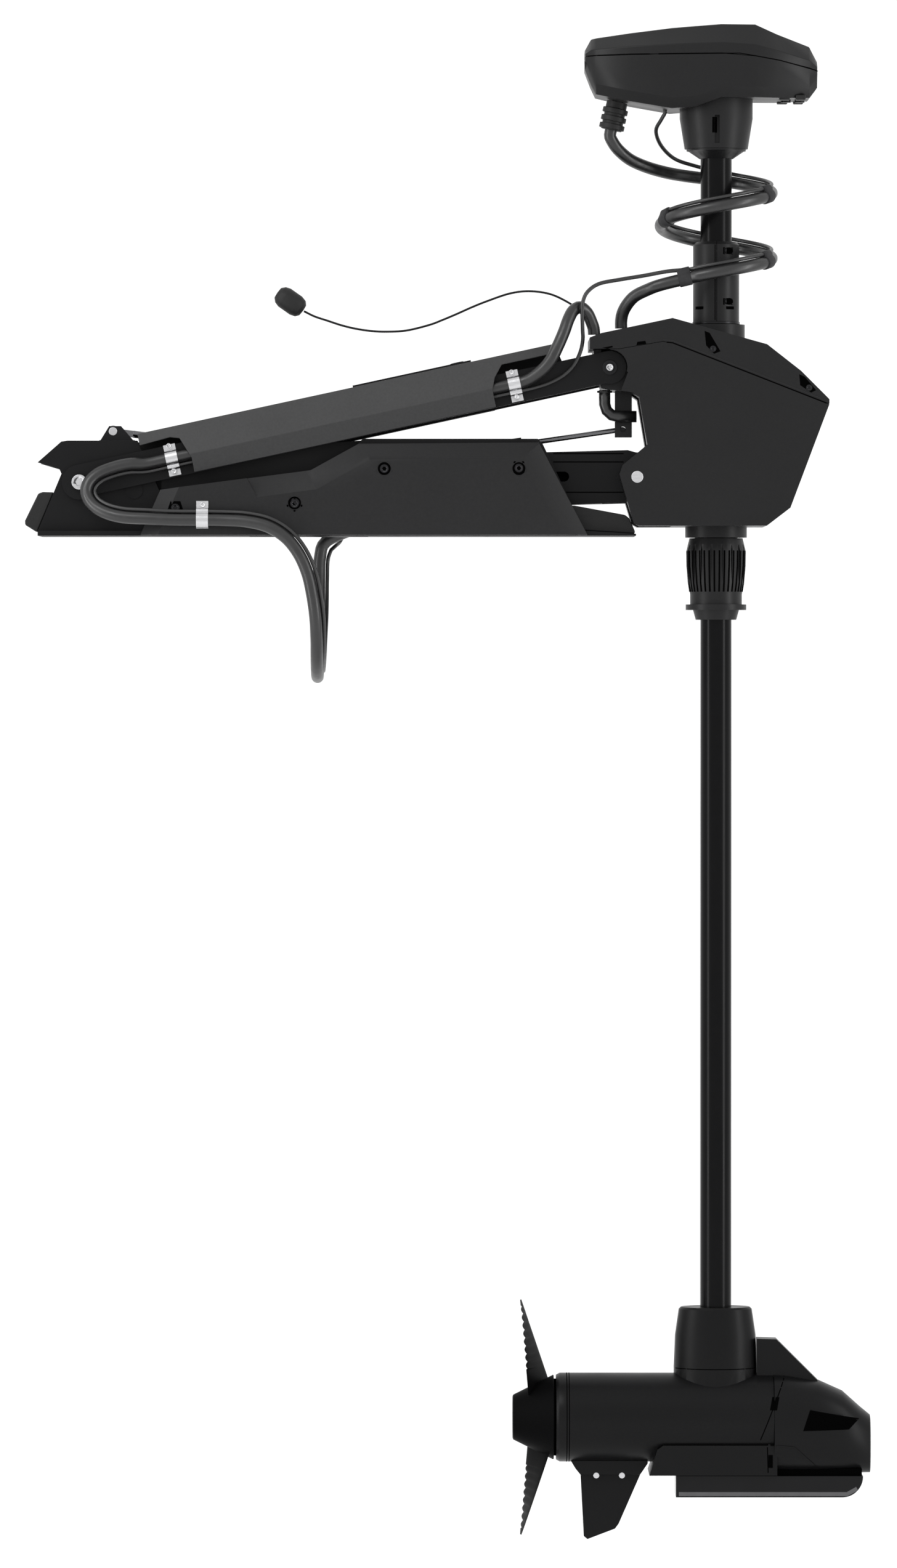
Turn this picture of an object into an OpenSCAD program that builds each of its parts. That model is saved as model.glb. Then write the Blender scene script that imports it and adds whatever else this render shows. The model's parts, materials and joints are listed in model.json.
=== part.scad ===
// Bow-mount electric trolling motor on a folding deck mount, shown deployed.
// X points forward over the bow, Y to port and Z up. The origin is on the deck,
// in the middle of the deck bolt pattern, and every size is in millimetres.

/* [Folding mount] */
// Height of the rear arm pivot above the deck
pivot_height = 54; // [53:0.5:55]
// Distance between the two pivots of the upper arm
arm_span = 546; // [543:1:549]
// Slope of the upper arm when deployed, in degrees
arm_slope = 12.2; // [12:0.1:12.4]
// Half of the width across the two side covers of the base
base_half_width = 78; // [74:1:82]
// Radius of the deck bolt holes
deck_hole_r = 3.3; // [2.6:0.1:4.3]
// Distance between deck bolts along the boat
deck_bolt_pitch = 360; // [340:5:380]
// Distance between deck bolts across the boat
deck_bolt_gauge = 70; // [64:1:76]

/* [Steering and shaft] */
// Distance from the origin forward to the shaft axis
shaft_x = 412; // [411:0.5:413]
// Outer diameter of the shaft
shaft_d = 31.5; // [29:0.5:31.5]
// Half of the width of the steering housing
housing_half_width = 66; // [64:1:70]
// Top of the shaft above the deck
shaft_top = 405; // [402:1:408]

/* [Motor and propeller] */
// Depth of the motor axis below the deck
motor_depth = 892; // [840:2:920]
// Radius of the motor tube
motor_r = 45; // [44:0.5:46]
// Radius of the propeller at its tips
prop_r = 119.5; // [110:0.5:122]
// Pitch angle of a blade at half radius, in degrees
blade_pitch = 27; // [22:1:32]

/* [Control head] */
// Half of the width of the control head
head_half_width = 62; // [56:1:66]

/* [Cables] */
// Diameter of the power cable
cable_d = 12.5; // [11:0.1:12.5]
// Diameter of the sensor cable that runs beside it
thin_d = 4; // [3:0.1:4.4]
// Radius of the cable coil around the shaft
coil_r = 56; // [54:0.5:58]
// Diameter of the pull cord
cord_d = 2; // [1.6:0.1:2.4]

/* [Hidden] */

$fn = 48;
fine = 96;
gap = 0.3;
running = 0.08;

// Pivots of the folding mount, as [x, z]
pivot_p = [-230, pivot_height];
pivot_a = pivot_p + arm_span * [cos(arm_slope), sin(arm_slope)];
pivot_b = pivot_a + [27.3, -110.4];
pivot_c = [-175, pivot_height - 8];
bracket_k = pivot_p + [31, 53];
strut_f = pivot_b + [-13.5, 49];
strut_e = [80, 73.5];
strut_g = [40, 76];

// Layers across the mount, as distances from the centre plane
cheek_in = 30;
cheek_out = 40;
plate_in = 43;
plate_out = 48;
rail_in = 50.5;
rail_out = 54.5;
lower_in = 22;
lower_out = 27;
pivot_pin_r = 6;
eye_r = 16.6;

// Shaft, sleeve and collar
shaft_r = shaft_d / 2;
shaft_bore_r = shaft_r + gap;
sleeve_r = 20.5;
sleeve_z = [10, 214.4];
collar_z = [217, 297.6];
collar_r = 23.3;
boss_r = 29;
boss_top = 213.9;
bearing_r = 26.5;
wheel_z = 66;
wheel_r = 38;
worm_r = 10;
worm_x = shaft_x + wheel_r + worm_r + 0.6;

// Motor
motor_z = -motor_depth;
tube_x = [261, 470];
hub_x = [206, 248];
rotor_r = 26;
drive_r = 5;

// Front to back, low to high: side outline of the base covers
cover_outline = [
    [-168, 0.6], [-148, 46], [3, 65.7], [51.5, 92.4], [232, 93.6], [281, 0.6]
];

// Side outline of the steering housing below the seam of its cover
housing_outline = [
    [333, 9.9], [327.4, 13], [314.3, 57], [313.1, 61.7], [316.2, 70.7], [341, 91.4],
    [333, 139], [326, 143.8], [295, 148.8], [287, 187.2], [312.2, 187.2], [356.5, 194.7],
    [366.4, 193.4], [522.7, 132.3], [523.9, 132], [484.8, 28], [461.3, 10]
];
housing_cover_outline = [
    [283.3, 187.7], [283.3, 199], [295, 203.4], [366.4, 218.5], [461.3, 192.2],
    [495.4, 165.5], [523.9, 137], [523.9, 132.6], [366.4, 193.9], [356.5, 195.2], [312.2, 187.7]
];

// ---------- general shapes ----------

// A flat outline in x and z, made solid from y0 to y1
module slab(points, y0, y1) {
    translate([0, y1, 0])
    rotate([90, 0, 0])
    linear_extrude(y1 - y0)
    polygon(points);
}

// A round bar along Y at p = [x, z]
module bar_y(p, r, y0, y1) {
    translate([p[0], y1, p[1]])
    rotate([90, 0, 0])
    cylinder(r = r, h = y1 - y0);
}

// A round bar along X at height z, from x0 to x1, with end radii r0 and r1
module bar_x(x0, x1, z, r0, r1) {
    translate([x0, 0, z])
    rotate([0, 90, 0])
    cylinder(r1 = r0, r2 = r1, h = x1 - x0);
}

// A ring standing on z0 around the shaft axis
module shaft_ring(r_out, r_in, z0, z1) {
    translate([shaft_x, 0, z0])
    difference() {
        cylinder(r = r_out, h = z1 - z0, $fn = fine);
        translate([0, 0, -1]) cylinder(r = r_in, h = z1 - z0 + 2, $fn = fine);
    }
}

// Children and their mirror image across the centre plane
module both_sides() {
    children();
    mirror([0, 1, 0]) children();
}

// Children set in the frame of the upper arm: x along it, z square to it
module on_arm() {
    translate([pivot_p[0], 0, pivot_p[1]])
    rotate([0, -arm_slope, 0])
    children();
}

lower_arm_line = pivot_b - pivot_c;
lower_arm_span = norm(lower_arm_line);
lower_arm_slope = atan2(lower_arm_line[1], lower_arm_line[0]);

// Children set in the frame of the lower arm
module on_lower_arm() {
    translate([pivot_c[0], 0, pivot_c[1]])
    rotate([0, -lower_arm_slope, 0])
    children();
}

// Children set along the line from p to q, with x along it
module along(p, q, y) {
    translate([p[0], y, p[1]])
    rotate([0, -atan2(q[1] - p[1], q[0] - p[0]), 0])
    children();
}

// A closed skin through rings that all have the same number of points
module loft(given) {
    rings = winding(given) > 0 ? given : [for (ring = given) reversed(ring)];
    n = len(rings[0]);
    last = len(rings) - 1;
    sides = [
        for (i = [0 : last - 1], j = [0 : n - 1], half = [0, 1])
            let (k = (j + 1) % n, a = i * n, b = (i + 1) * n)
            half == 0 ? [a + j, b + j, b + k] : [a + j, b + k, a + k]
    ];
    first_cap = [for (j = [0 : n - 1]) j];
    last_cap = [for (j = [n - 1 : -1 : 0]) last * n + j];
    polyhedron(
        points = [for (ring = rings) each ring],
        faces = concat([first_cap], sides, [last_cap]),
        convexity = 6
    );
}

// Above zero where the rings wind the way their caps and sides need
function winding(rings) =
    let (
        r = rings[0],
        parts = [for (j = [1 : len(r) - 2]) cross(r[j] - r[0], r[j + 1] - r[0])],
        area = [for (part = parts) 1] * parts
    )
    area * (rings[1][0] - r[0]);
function reversed(ring) = [for (j = [len(ring) - 1 : -1 : 0]) ring[j]];

function unit(v) = v / norm(v);

// Direction of a route at point i
function heading(route, i) =
    i == 0 ? unit(route[1] - route[0])
    : i == len(route) - 1 ? unit(route[i] - route[i - 1])
    : unit(unit(route[i + 1] - route[i]) + unit(route[i] - route[i - 1]));

// A side vector square to d that stays close to the one before it
function carried(side, d) = unit(side - (side * d) * d);
function side_vectors(route, i, side) =
    i == len(route) ? []
    : let (s = carried(side, heading(route, i)))
        concat([s], side_vectors(route, i + 1, s));

// A cable of radius r through the points of a route
module cable(route, r, sides = 10, start_side = [0, 0, 1]) {
    around = side_vectors(route, 0, start_side);
    loft([
        for (i = [0 : len(route) - 1])
            let (d = heading(route, i), s = around[i], t = cross(d, s))
            [for (j = [0 : sides - 1])
                let (a = -360 * j / sides)
                route[i] + r * (cos(a) * s + sin(a) * t)]
    ]);
}

// A route beside another one. Without a reference it stays on the inner side of the bends seen
// from starboard, and with one it lies on the side that the reference points to
thin_step = cable_d / 2 + thin_d / 2 + 0.2;
function beside(route, reference = [0, 0, 0]) = [
    for (i = [0 : len(route) - 1])
        let (d = heading(route, i))
        route[i] + thin_step * (
            norm(reference) == 0 ? unit(cross(d, [0, -1, 0])) : carried(reference, d)
        )
];

// A button-head screw with its head at the origin, pointing along +Z
module screw(r, length, head_r, head_h) {
    translate([0, 0, -length]) cylinder(r = r, h = length);
    difference() {
        cylinder(r = head_r, h = head_h);
        translate([0, 0, head_h / 2]) cylinder(r = head_r * 0.45, h = head_h, $fn = 6);
    }
}

// The same screw lying along Y: sense 1 puts its head towards +Y
module screw_y(p, y, sense, r, length, head_r, head_h) {
    translate([p[0], y, p[1]])
    rotate([-90 * sense, 0, 0])
    screw(r, length, head_r, head_h);
}

// ---------- deck mount ----------

module base_frame() {
    casting = [
        [-248.6, 95], [-272.4, 74.1], [-250.5, 67.6], [-248.4, 62.6], [-271.8, 6.2],
        [-271.8, 0], [-150, 0], [-150, 46], [-172, 96], [-242.4, 96]
    ];
    rail = [
        [-150, 0], [-148, 44], [3, 64], [50, 92], [55, 97.5], [231, 97.5], [236, 92.5],
        [279, 3], [279, 0]
    ];
    color("#1d1e20")
    difference() {
        union() {
            slab([[-271.8, 0], [330, 0], [330, 2], [280, 5], [-271.8, 5]], -rail_out, rail_out);
            both_sides() slab(casting, cheek_in, cheek_out);
            both_sides() slab(rail, rail_in, rail_out);
            bar_y([244, 18], 4, -rail_in, rail_in);
            bar_y([-130, 12], 5, -rail_in, rail_in);
        }
        for (x = [-1, 1], y = [-1, 1])
            translate([x * deck_bolt_pitch / 2, y * deck_bolt_gauge / 2, -1])
            cylinder(r = deck_hole_r, h = 8);
        for (x = [-1, 1])
            translate([x * 90, 0, -1])
            cylinder(r = deck_hole_r, h = 8);
        translate([-60, -18, -1]) cube([120, 36, 8]);
        bar_y(pivot_p, pivot_pin_r + 0.05, -cheek_out - 1, cheek_out + 1);
        bar_y(pivot_c, 8, -cheek_out - 1, cheek_out + 1);
    }
}

// Reach and depth of the bevel along each edge of a base cover, from the rear edge to the front
cover_bevels = [[16.5, 11], [20, 12], [20, 11], [15.5, 12], [21.2, 11]];

// The wedge cut away along edge i of the cover outline. It starts a little outside the cover
module cover_wedge(i) {
    p = cover_outline[i];
    q = cover_outline[i + 1];
    over = 3;
    depth = cover_bevels[i][1];
    slope = cover_bevels[i][0] / depth;
    front_y = -base_half_width - over;
    back_y = front_y + depth + 2 * over;
    translate([p[0], 0, p[1]])
    rotate([0, -atan2(q[1] - p[1], q[0] - p[0]), 0])
    translate([-60, 0, 0])
    rotate([90, 0, 90])
    linear_extrude(norm(q - p) + 120)
    polygon([[back_y, over * slope], [back_y, 60], [front_y, 60], [front_y, -(depth + over) * slope]]);
}

// The cover on the starboard side: a flat face inside a wide bevel
module base_cover() {
    face_y = -base_half_width;
    rim_y = face_y + 12;
    in_y = -rail_out - gap;
    difference() {
        slab(cover_outline, face_y, in_y);
        for (i = [0, 3, 4])
            cover_wedge(i);
        intersection() {
            cover_wedge(1);
            cover_wedge(2);
        }
        slab(
            [[-158, -1], [-144, 40], [6, 59], [53, 86], [229, 87], [272, -1]],
            rim_y + 1, in_y + 1
        );
        for (p = cover_screw_places)
            bar_y(p, 6.5, face_y - 1, face_y + 4.5);
        for (p = cover_screw_places)
            bar_y(p, 2.1, face_y, in_y + 1);
    }
}

cover_screw_places = [[-132, 20], [-13, 32.5], [77, 67], [212, 67]];

module left_base_cover() {
    color("#2b2c2e") mirror([0, 1, 0]) base_cover();
}

module right_base_cover() {
    color("#2b2c2e") base_cover();
}

module base_cover_screws() {
    color("#101112")
    both_sides()
    for (p = cover_screw_places)
        screw_y(p, -base_half_width + 4.5, -1, 2, 16, 5, 3);
}

module motor_rest() {
    wedge = [
        [250, 5], [250, 30.2], [268, 30.6], [319.3, 21.1], [323.6, 17.4], [329, 5], [329, 2.2],
        [281, 5.1]
    ];
    color("#151617")
    difference() {
        slab(wedge, -44, 44);
        translate([262, -30, 4]) cube([40, 60, 16]);
    }
}

module rear_bumper() {
    color("#131314")
    slab(
        [
            [-256.2, 44], [-267.2, 44.3], [-271.8, 42.8], [-285.2, 15.5], [-285.2, 11.2],
            [-273.3, 3.7], [-272.5, 5]
        ],
        -38, 38
    );
}

bracket_y = 35;

module strut_bracket() {
    ear = [
        [bracket_k[0] - 14, cheek_out + 56.2], [bracket_k[0] + 22, cheek_out + 56.2],
        [bracket_k[0] + 8, bracket_k[1] + 5.5], [bracket_k[0] - 4, bracket_k[1] + 5.5]
    ];
    color("#202123")
    difference() {
        union() {
            slab(ear, bracket_y - 5, bracket_y - 3.3);
            slab(ear, bracket_y + 3.3, bracket_y + 5);
            translate([bracket_k[0] - 14, bracket_y - 5, 96.2]) cube([36, 10, 2]);
        }
        bar_y(bracket_k, 3.05, bracket_y - 6, bracket_y + 6);
    }
}

module bracket_pin() {
    color("silver")
    union() {
        bar_y(bracket_k, 3, bracket_y - 5.2, bracket_y + 5.2);
        bar_y(bracket_k, 4.3, bracket_y - 6.4, bracket_y - 5.2);
        bar_y(bracket_k, 4.3, bracket_y + 5.2, bracket_y + 6.4);
    }
}

module arm_pivot_bolts() {
    color("#3a3b3d")
    both_sides()
    difference() {
        union() {
            bar_y(pivot_p, pivot_pin_r, -plate_out - 0.5, -cheek_in - 1);
            bar_y(pivot_p, 8, -plate_out - 5, -plate_out - 0.5);
        }
        translate([pivot_p[0], -plate_out - 1.5, pivot_p[1]])
        rotate([90, 0, 0])
        cylinder(r = 4, h = 6, $fn = 6);
    }
}

// A saddle clip over both cables on a face: x outward, y across with the thin cable on the high
// side, extruded along z
module saddle_clip(width, low_tab, high_tab) {
    hold = cable_d / 2 + 0.15;
    thin_hold = thin_d / 2 + 0.15;
    wall = 1.35;
    lift = cable_d / 2 + 0.35;
    linear_extrude(width)
    difference() {
        union() {
            translate([lift, 0]) circle(r = hold + wall);
            translate([lift, thin_step]) circle(r = thin_hold + wall);
            translate([0, -hold - wall]) square([lift, thin_step + hold + thin_hold + 2 * wall]);
            translate([0, -low_tab]) square([1.3, low_tab + high_tab]);
        }
        translate([lift, 0]) circle(r = hold);
        translate([lift, thin_step]) circle(r = thin_hold);
        translate([-2, -hold]) square([lift + 2, 2 * hold]);
        translate([-2, thin_step - thin_hold]) square([lift + 2, 2 * thin_hold]);
    }
}

lead_z = 15.5;
lead_y = -base_half_width - cable_d / 2 - 0.35;
clip_x = -105.5;

module base_cable_clip() {
    color("silver")
    union() {
        translate([clip_x - 6, -base_half_width - 0.05, lead_z])
        rotate([90, 0, 90])
        mirror([1, 0, 0])
        saddle_clip(12, 8.5, 19);
        screw_y([clip_x, lead_z + 15.4], -base_half_width - 1.3, -1, 1.2, 1, 2.9, 1.6);
    }
}

// ---------- upper arm ----------

arm_cover_u = [67.4, 499.7];
arm_top_v = 35;
arm_clip_u = [96, 448.5];
arm_cable_v = 4;

module upper_arm_frame() {
    color("#1c1d1f")
    difference() {
        union() {
            both_sides()
            on_arm()
            union() {
                bar_y([0, 0], 17.5, plate_in, plate_out);
                bar_y([arm_span, 0], eye_r, plate_in, plate_out);
                slab([[0, -15.5], [0, 17.5], [arm_span, 16.6], [arm_span, -15]], plate_in, plate_out);
            }
            on_arm() translate([190, -plate_in, 12]) cube([240, 2 * plate_in, 4]);
            on_arm() translate([330, -plate_in, -12]) cube([6, 2 * plate_in, 24]);
        }
        both_sides() on_arm() bar_y([0, 0], pivot_pin_r + running, plate_in - 1, plate_out + 1);
        both_sides() on_arm() bar_y([arm_span, 0], 5 + running, plate_in - 1, plate_out + 1);
    }
}

// Cross-section of the arm cover, in y and height; skin is the wall left out inside
function arm_section(skin) = [
    [-52 + skin, arm_top_v - skin], [52 - skin, arm_top_v - skin],
    [66 - skin, 3.5], [62 - skin, -15.2 - skin], [-62 + skin, -15.2 - skin], [-66 + skin, 3.5]
];

module upper_arm_cover() {
    rear_cut = [
        [60, -40], [60, 22.4], [98.7, 24.6], [108, 21.6], [115.9, 0], [115, -40]
    ];
    front_cut = [
        [425.6, -40], [425.6, 2], [430.8, 14.3], [440.2, 25.5], [510, 25.5], [510, -40]
    ];
    slot_at_strut = [55, bracket_y - 7.5, 20];
    color("#343538")
    on_arm()
    difference() {
        translate([arm_cover_u[0], 0, 0])
        rotate([90, 0, 90])
        linear_extrude(arm_cover_u[1] - arm_cover_u[0])
        polygon(arm_section(0));
        translate([arm_cover_u[0] - 1, 0, 0])
        rotate([90, 0, 90])
        linear_extrude(arm_cover_u[1] - arm_cover_u[0] + 2)
        polygon(arm_section(3));
        slab(rear_cut, -70, 70);
        slab(front_cut, -70, 70);
        translate(slot_at_strut) cube([58, 15, 20]);
        translate([388, -9, 20]) cube([18, 18, 20]);
    }
}

panel_u = [289, 411];
button_u = 397;

module indicator_panel() {
    color("#151517")
    on_arm()
    difference() {
        translate([panel_u[0], -24, arm_top_v + 0.05]) cube([panel_u[1] - panel_u[0], 48, 2.6]);
        translate([button_u, 0, arm_top_v - 1]) cylinder(r = 7.4, h = 8);
    }
}

module power_button() {
    color("#38393c")
    on_arm()
    union() {
        translate([button_u, 0, arm_top_v + 1.5]) cylinder(r = 7, h = 2.4);
        translate([button_u, 0, arm_top_v - 3]) cylinder(r = 5, h = 4.6);
    }
}

module arm_cable_clips() {
    color("silver")
    for (u = arm_clip_u)
        on_arm()
        union() {
            translate([u - 6, -plate_out - 0.05, arm_cable_v])
            rotate([90, 0, 90])
            rotate([0, 0, 180])
            saddle_clip(12, 14, 18);
            screw_y([u, arm_cable_v + 11], -plate_out - 1.3, -1, 1.2, 1, 2.6, 1.6);
            screw_y([u, arm_cable_v - 14.9], -plate_out - 1.3, -1, 1.2, 1, 2.6, 1.6);
        }
}

module front_pivot_bolts() {
    color("silver")
    both_sides()
    difference() {
        union() {
            bar_y(pivot_a, 5, -plate_out - 0.5, -cheek_in);
            bar_y(pivot_a, 7.4, -plate_out - 1.8, -plate_out - 0.5);
            bar_y(pivot_a, 4.3, -plate_out - 4, -plate_out - 1.8);
        }
        translate([pivot_a[0], -plate_out - 2.5, pivot_a[1]])
        rotate([90, 0, 0])
        cylinder(r = 2.2, h = 4, $fn = 6);
    }
}

// ---------- lower arm and gas struts ----------

hook_pivot = [226, 50];

module lower_arm() {
    wall = [
        [0, -14], [100, -14], [135, -25], [lower_arm_span - 8, -25], [lower_arm_span, -25.5],
        [lower_arm_span, 25.5], [lower_arm_span - 8, 28], [135, 28], [100, 14], [0, 14]
    ];
    color("#1a1b1d")
    difference() {
        on_lower_arm()
        union() {
            both_sides() slab(wall, lower_in, lower_out);
            both_sides() bar_y([0, 0], 14, lower_in, lower_out);
            both_sides() bar_y([lower_arm_span, 0], 25.5, lower_in, lower_out);
            translate([150, -lower_in, -25]) cube([lower_arm_span - 185, 2 * lower_in, 4]);
            both_sides() translate([136, lower_in - 3, 25]) cube([lower_arm_span - 160, 3, 3]);
            bar_y([130, 0], 6, -lower_in, lower_in);
        }
        bar_y(pivot_c, 8, -lower_out - 1, lower_out + 1);
        bar_y(pivot_b, pivot_pin_r + running, -lower_out - 1, lower_out + 1);
        both_sides()
        hull() {
            bar_y([236, 60], 5, lower_in - 1, lower_out + 1);
            bar_y([258, 60], 5, lower_in - 1, lower_out + 1);
        }
        translate([206, -5, 20]) cube([36, 10, 24]);
        bar_y(strut_e, 3, -lower_out - 1, lower_out + 1);
        bar_y(hook_pivot, 2.5, -lower_out - 1, lower_out + 1);
    }
}

module latch_hook() {
    color("#6d6e70")
    union() {
        slab(
            [
                [221, 56], [231, 56], [231, 25], [239.3, 20], [239.3, 15], [230, 10], [221, 20]
            ],
            -4, 4
        );
        bar_y(hook_pivot, 2.4, -lower_out - 0.5, lower_out + 0.5);
    }
}

front_strut_y = -11;
front_strut_length = norm(strut_f - strut_e);
rear_strut_length = norm(strut_g - bracket_k);

module front_strut_cylinder() {
    color("#17181a")
    union() {
        along(strut_e, strut_f, front_strut_y)
        difference() {
            union() {
                bar_x(6, 137, 0, 6.8, 6.8);
                bar_y([0, 0], 7, -6, 6);
            }
            bar_x(30, 138, 0, 2.68, 2.68);
        }
        bar_y(strut_e, 2.9, front_strut_y - 8, front_strut_y - 6);
        bar_y(strut_e, 2.9, front_strut_y + 6, lower_out + 0.5);
    }
}

module front_strut_rod() {
    color("silver")
    along(strut_e, strut_f, front_strut_y)
    difference() {
        union() {
            bar_x(78, front_strut_length - 5, 0, 2.6, 2.6);
            translate([front_strut_length - 7, -3, -6]) cube([13, 6, 12]);
        }
        bar_y([front_strut_length, 0], 3, -5, 5);
    }
}

module rear_strut_cylinder() {
    color("#17181a")
    along(bracket_k, strut_g, bracket_y)
    difference() {
        union() {
            bar_x(115, rear_strut_length - 4, 0, 6.8, 6.8);
            bar_y([rear_strut_length, 0], 6.5, -5, 5);
        }
        bar_x(114, rear_strut_length - 12, 0, 3.78, 3.78);
        bar_y([rear_strut_length, 0], 3, -8, 8);
    }
}

module rear_strut_rod() {
    color("silver")
    along(bracket_k, strut_g, bracket_y)
    difference() {
        union() {
            bar_x(20.5, 168, 0, 3.7, 3.7);
            translate([0, -3, -3.4]) cube([22, 6, 6.8]);
            bar_y([0, 0], 6, -3, 3);
        }
        bar_y([0, 0], 3 + running, -5, 5);
    }
}

// ---------- steering housing ----------

module steering_housing() {
    w = housing_half_width;
    chamber = [
        [370, 14], [459.5, 14], [481, 30], [519.5, 131], [519.5, 145], [370, 205]
    ];
    cheek_pocket = [
        [337, 14], [371, 14], [371, 210], [345, 210], [337, 139], [345, 92], [322, 68], [319, 60],
        [331, 17]
    ];
    arm_swing = [
        pivot_a, pivot_a + [18, -5], pivot_a + [8, -32], pivot_a + [-40, -32],
        pivot_a + [-40, 19], pivot_a + [0, 19]
    ];
    color("#202124")
    difference() {
        union() {
            difference() {
                slab(housing_outline, -w, w);
                slab(chamber, -w + 4, w - 4);
                both_sides() slab(cheek_pocket, lower_out + 10, w - 4);
                translate([300, -33, -1]) cube([66, 66, 147]);
                both_sides() slab(arm_swing, cheek_out + 1, w + 1);
                both_sides() bar_y(pivot_a, eye_r + 0.8, cheek_out + 1, w + 1);
            }
            shaft_ring(31.2, 22, -1.2, 12);
            shaft_ring(31.2, bearing_r, 12, 23);
            both_sides() bar_y(pivot_b, 10, 33, w - 1);
            for (y = [-9, 6])
                translate([strut_f[0] - 8, front_strut_y + y + 0.5, strut_f[1] - 8]) cube([17, 2, 48]);
        }
        shaft_ring(22, 0, -2, 13);
        shaft_ring(bearing_r, 0, 12, 24);
        bar_y(pivot_b, pivot_pin_r + 0.02, -w - 1, w + 1);
        bar_y(pivot_a, 5.02, -cheek_out - 1, cheek_out + 1);
        bar_y(strut_f, 3, front_strut_y - 10, front_strut_y + 10);
        translate([298.8, -26.5, 130]) cylinder(r = 5.9, h = 18);
        translate([320, -26.5, 120.5]) rotate([0, 90, 0]) cylinder(r = 6.2, h = 60);
    }
}

lid_screw_places = [[404, 56], [500, 52]];

module housing_cover() {
    w = housing_half_width;
    chamber = [
        [318, 170], [318, 204.3], [366, 214.2], [459.5, 188.3], [492.5, 162.6], [519.5, 137.2],
        [519.5, 110]
    ];
    color("#232427")
    difference() {
        union() {
            difference() {
                slab(housing_cover_outline, -w, w);
                slab(chamber, -w + 4, w - 4);
            }
            shaft_ring(boss_r, bearing_r, 194, 208.3);
            shaft_ring(boss_r, sleeve_r + 0.4, 208.3, boss_top);
        }
        shaft_ring(bearing_r, 0, 190, 208.3);
        shaft_ring(sleeve_r + 0.4, 0, 190, 220);
        for (p = lid_screw_places, s = [-1, 1])
            translate([p[0], s * p[1], lid_screw_floor(p[0])]) cylinder(r = 6.5, h = 40);
        for (p = lid_screw_places, s = [-1, 1])
            translate([p[0], s * p[1], lid_screw_floor(p[0]) - 20]) cylinder(r = 2.1, h = 40);
    }
}

// Height of the floor of a screw pocket in the cover
function lid_screw_floor(x) = x < 450 ? 203 : 151;

module housing_screws() {
    color("#0f1011")
    for (p = lid_screw_places, s = [-1, 1])
        translate([p[0], s * p[1], lid_screw_floor(p[0])]) screw(2, 14, 5, 3);
}

module steering_gearmotor() {
    color("#55585c")
    union() {
        bar_y([worm_x, wheel_z], 17, 27, 60);
        translate([worm_x - 17, 28, 31]) cube([33, 30, 30]);
    }
}

module sleeve_bearings() {
    color("#d9d4c4")
    for (z = [[12.2, 22], [197, 208]])
        shaft_ring(bearing_r - 0.02, sleeve_r + 0.25, z[0], z[1]);
}

module cable_elbow() {
    route = [
        [298.8, -26.5, 147.2], [298.8, -26.5, 140], [298.9, -26.5, 133], [301, -26.5, 126.5],
        [306, -26.5, 122], [313, -26.5, 120.5], [322, -26.5, 120.5], [331, -26.5, 120.5]
    ];
    color("#141415")
    union() {
        cable(route, 5.8, 12, [1, 0, 0]);
        translate([298.8, -26.5, 144.5]) cylinder(r = 7.6, h = 2);
    }
}

module lower_arm_pin() {
    color("silver")
    bar_y(pivot_b, pivot_pin_r, -housing_half_width - 0.6, housing_half_width + 0.6);
}

module worm() {
    color("#8d8f92")
    union() {
        bar_y([worm_x, wheel_z], 4, -28, 26.8);
        bar_y([worm_x, wheel_z], 7, -22, 22);
        for (i = [-4 : 4])
            bar_y([worm_x, wheel_z], worm_r, i * 5 - 1.2, i * 5 + 1.2);
    }
}

module stabiliser_collar() {
    profile = [
        [shaft_bore_r + 0.1, 4], [21.5, 4], [21.5, -1.9], [27, -1.9], [29.9, -14.3], [29.6, -30],
        [28.2, -47], [26.2, -58.6], [26.2, -68.8], [30.7, -68.8], [30.7, -74.4], [23.3, -74.4],
        [20.6, -84.3], [shaft_bore_r + 0.1, -84.3]
    ];
    color("#18191b")
    translate([shaft_x, 0, 0])
    difference() {
        rotate_extrude($fn = fine) polygon(profile);
        for (a = [0 : 20 : 340])
            rotate([0, 0, a]) translate([28.3, -1.2, -46]) cube([4, 2.4, 38]);
    }
}

// ---------- steering sleeve ----------

module drive_sleeve() {
    color("#77797c")
    union() {
        shaft_ring(sleeve_r, shaft_bore_r, sleeve_z[0], sleeve_z[1]);
        shaft_ring(24, shaft_bore_r, sleeve_z[1], collar_z[0] - 0.2);
    }
}

module worm_wheel() {
    teeth = 24;
    color("#b08d57")
    translate([shaft_x, 0, wheel_z - 6])
    difference() {
        cylinder(r = wheel_r, h = 12, $fn = fine);
        translate([0, 0, -1]) cylinder(r = sleeve_r, h = 14, $fn = fine);
        for (i = [0 : teeth - 1])
            rotate([0, 0, i * 360 / teeth]) translate([wheel_r, 0, -1]) cylinder(r = 2.4, h = 14);
    }
}

collar_screw_z = [237, 288];
collar_screw_y = 19.6;

module depth_collar() {
    color("#1b1c1e")
    difference() {
        translate([shaft_x, 0, 0])
        rotate_extrude($fn = fine)
        polygon([
            [shaft_bore_r, collar_z[0]], [collar_r, collar_z[0]], [collar_r, collar_z[1] - 3],
            [collar_r - 3, collar_z[1]], [shaft_bore_r, collar_z[1]]
        ]);
        translate([shaft_x - 0.3, -30, collar_z[0] - 1]) cube([0.6, 60, 90]);
        for (z = collar_screw_z, s = [-1, 1])
            translate([shaft_x - 9, s * collar_screw_y, z]) rotate([0, 90, 0]) cylinder(r = 1.7, h = 20);
        for (z = collar_screw_z, s = [-1, 1])
            translate([shaft_x + 8, s * collar_screw_y, z]) rotate([0, 90, 0]) cylinder(r = 3.4, h = 20);
    }
}

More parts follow.
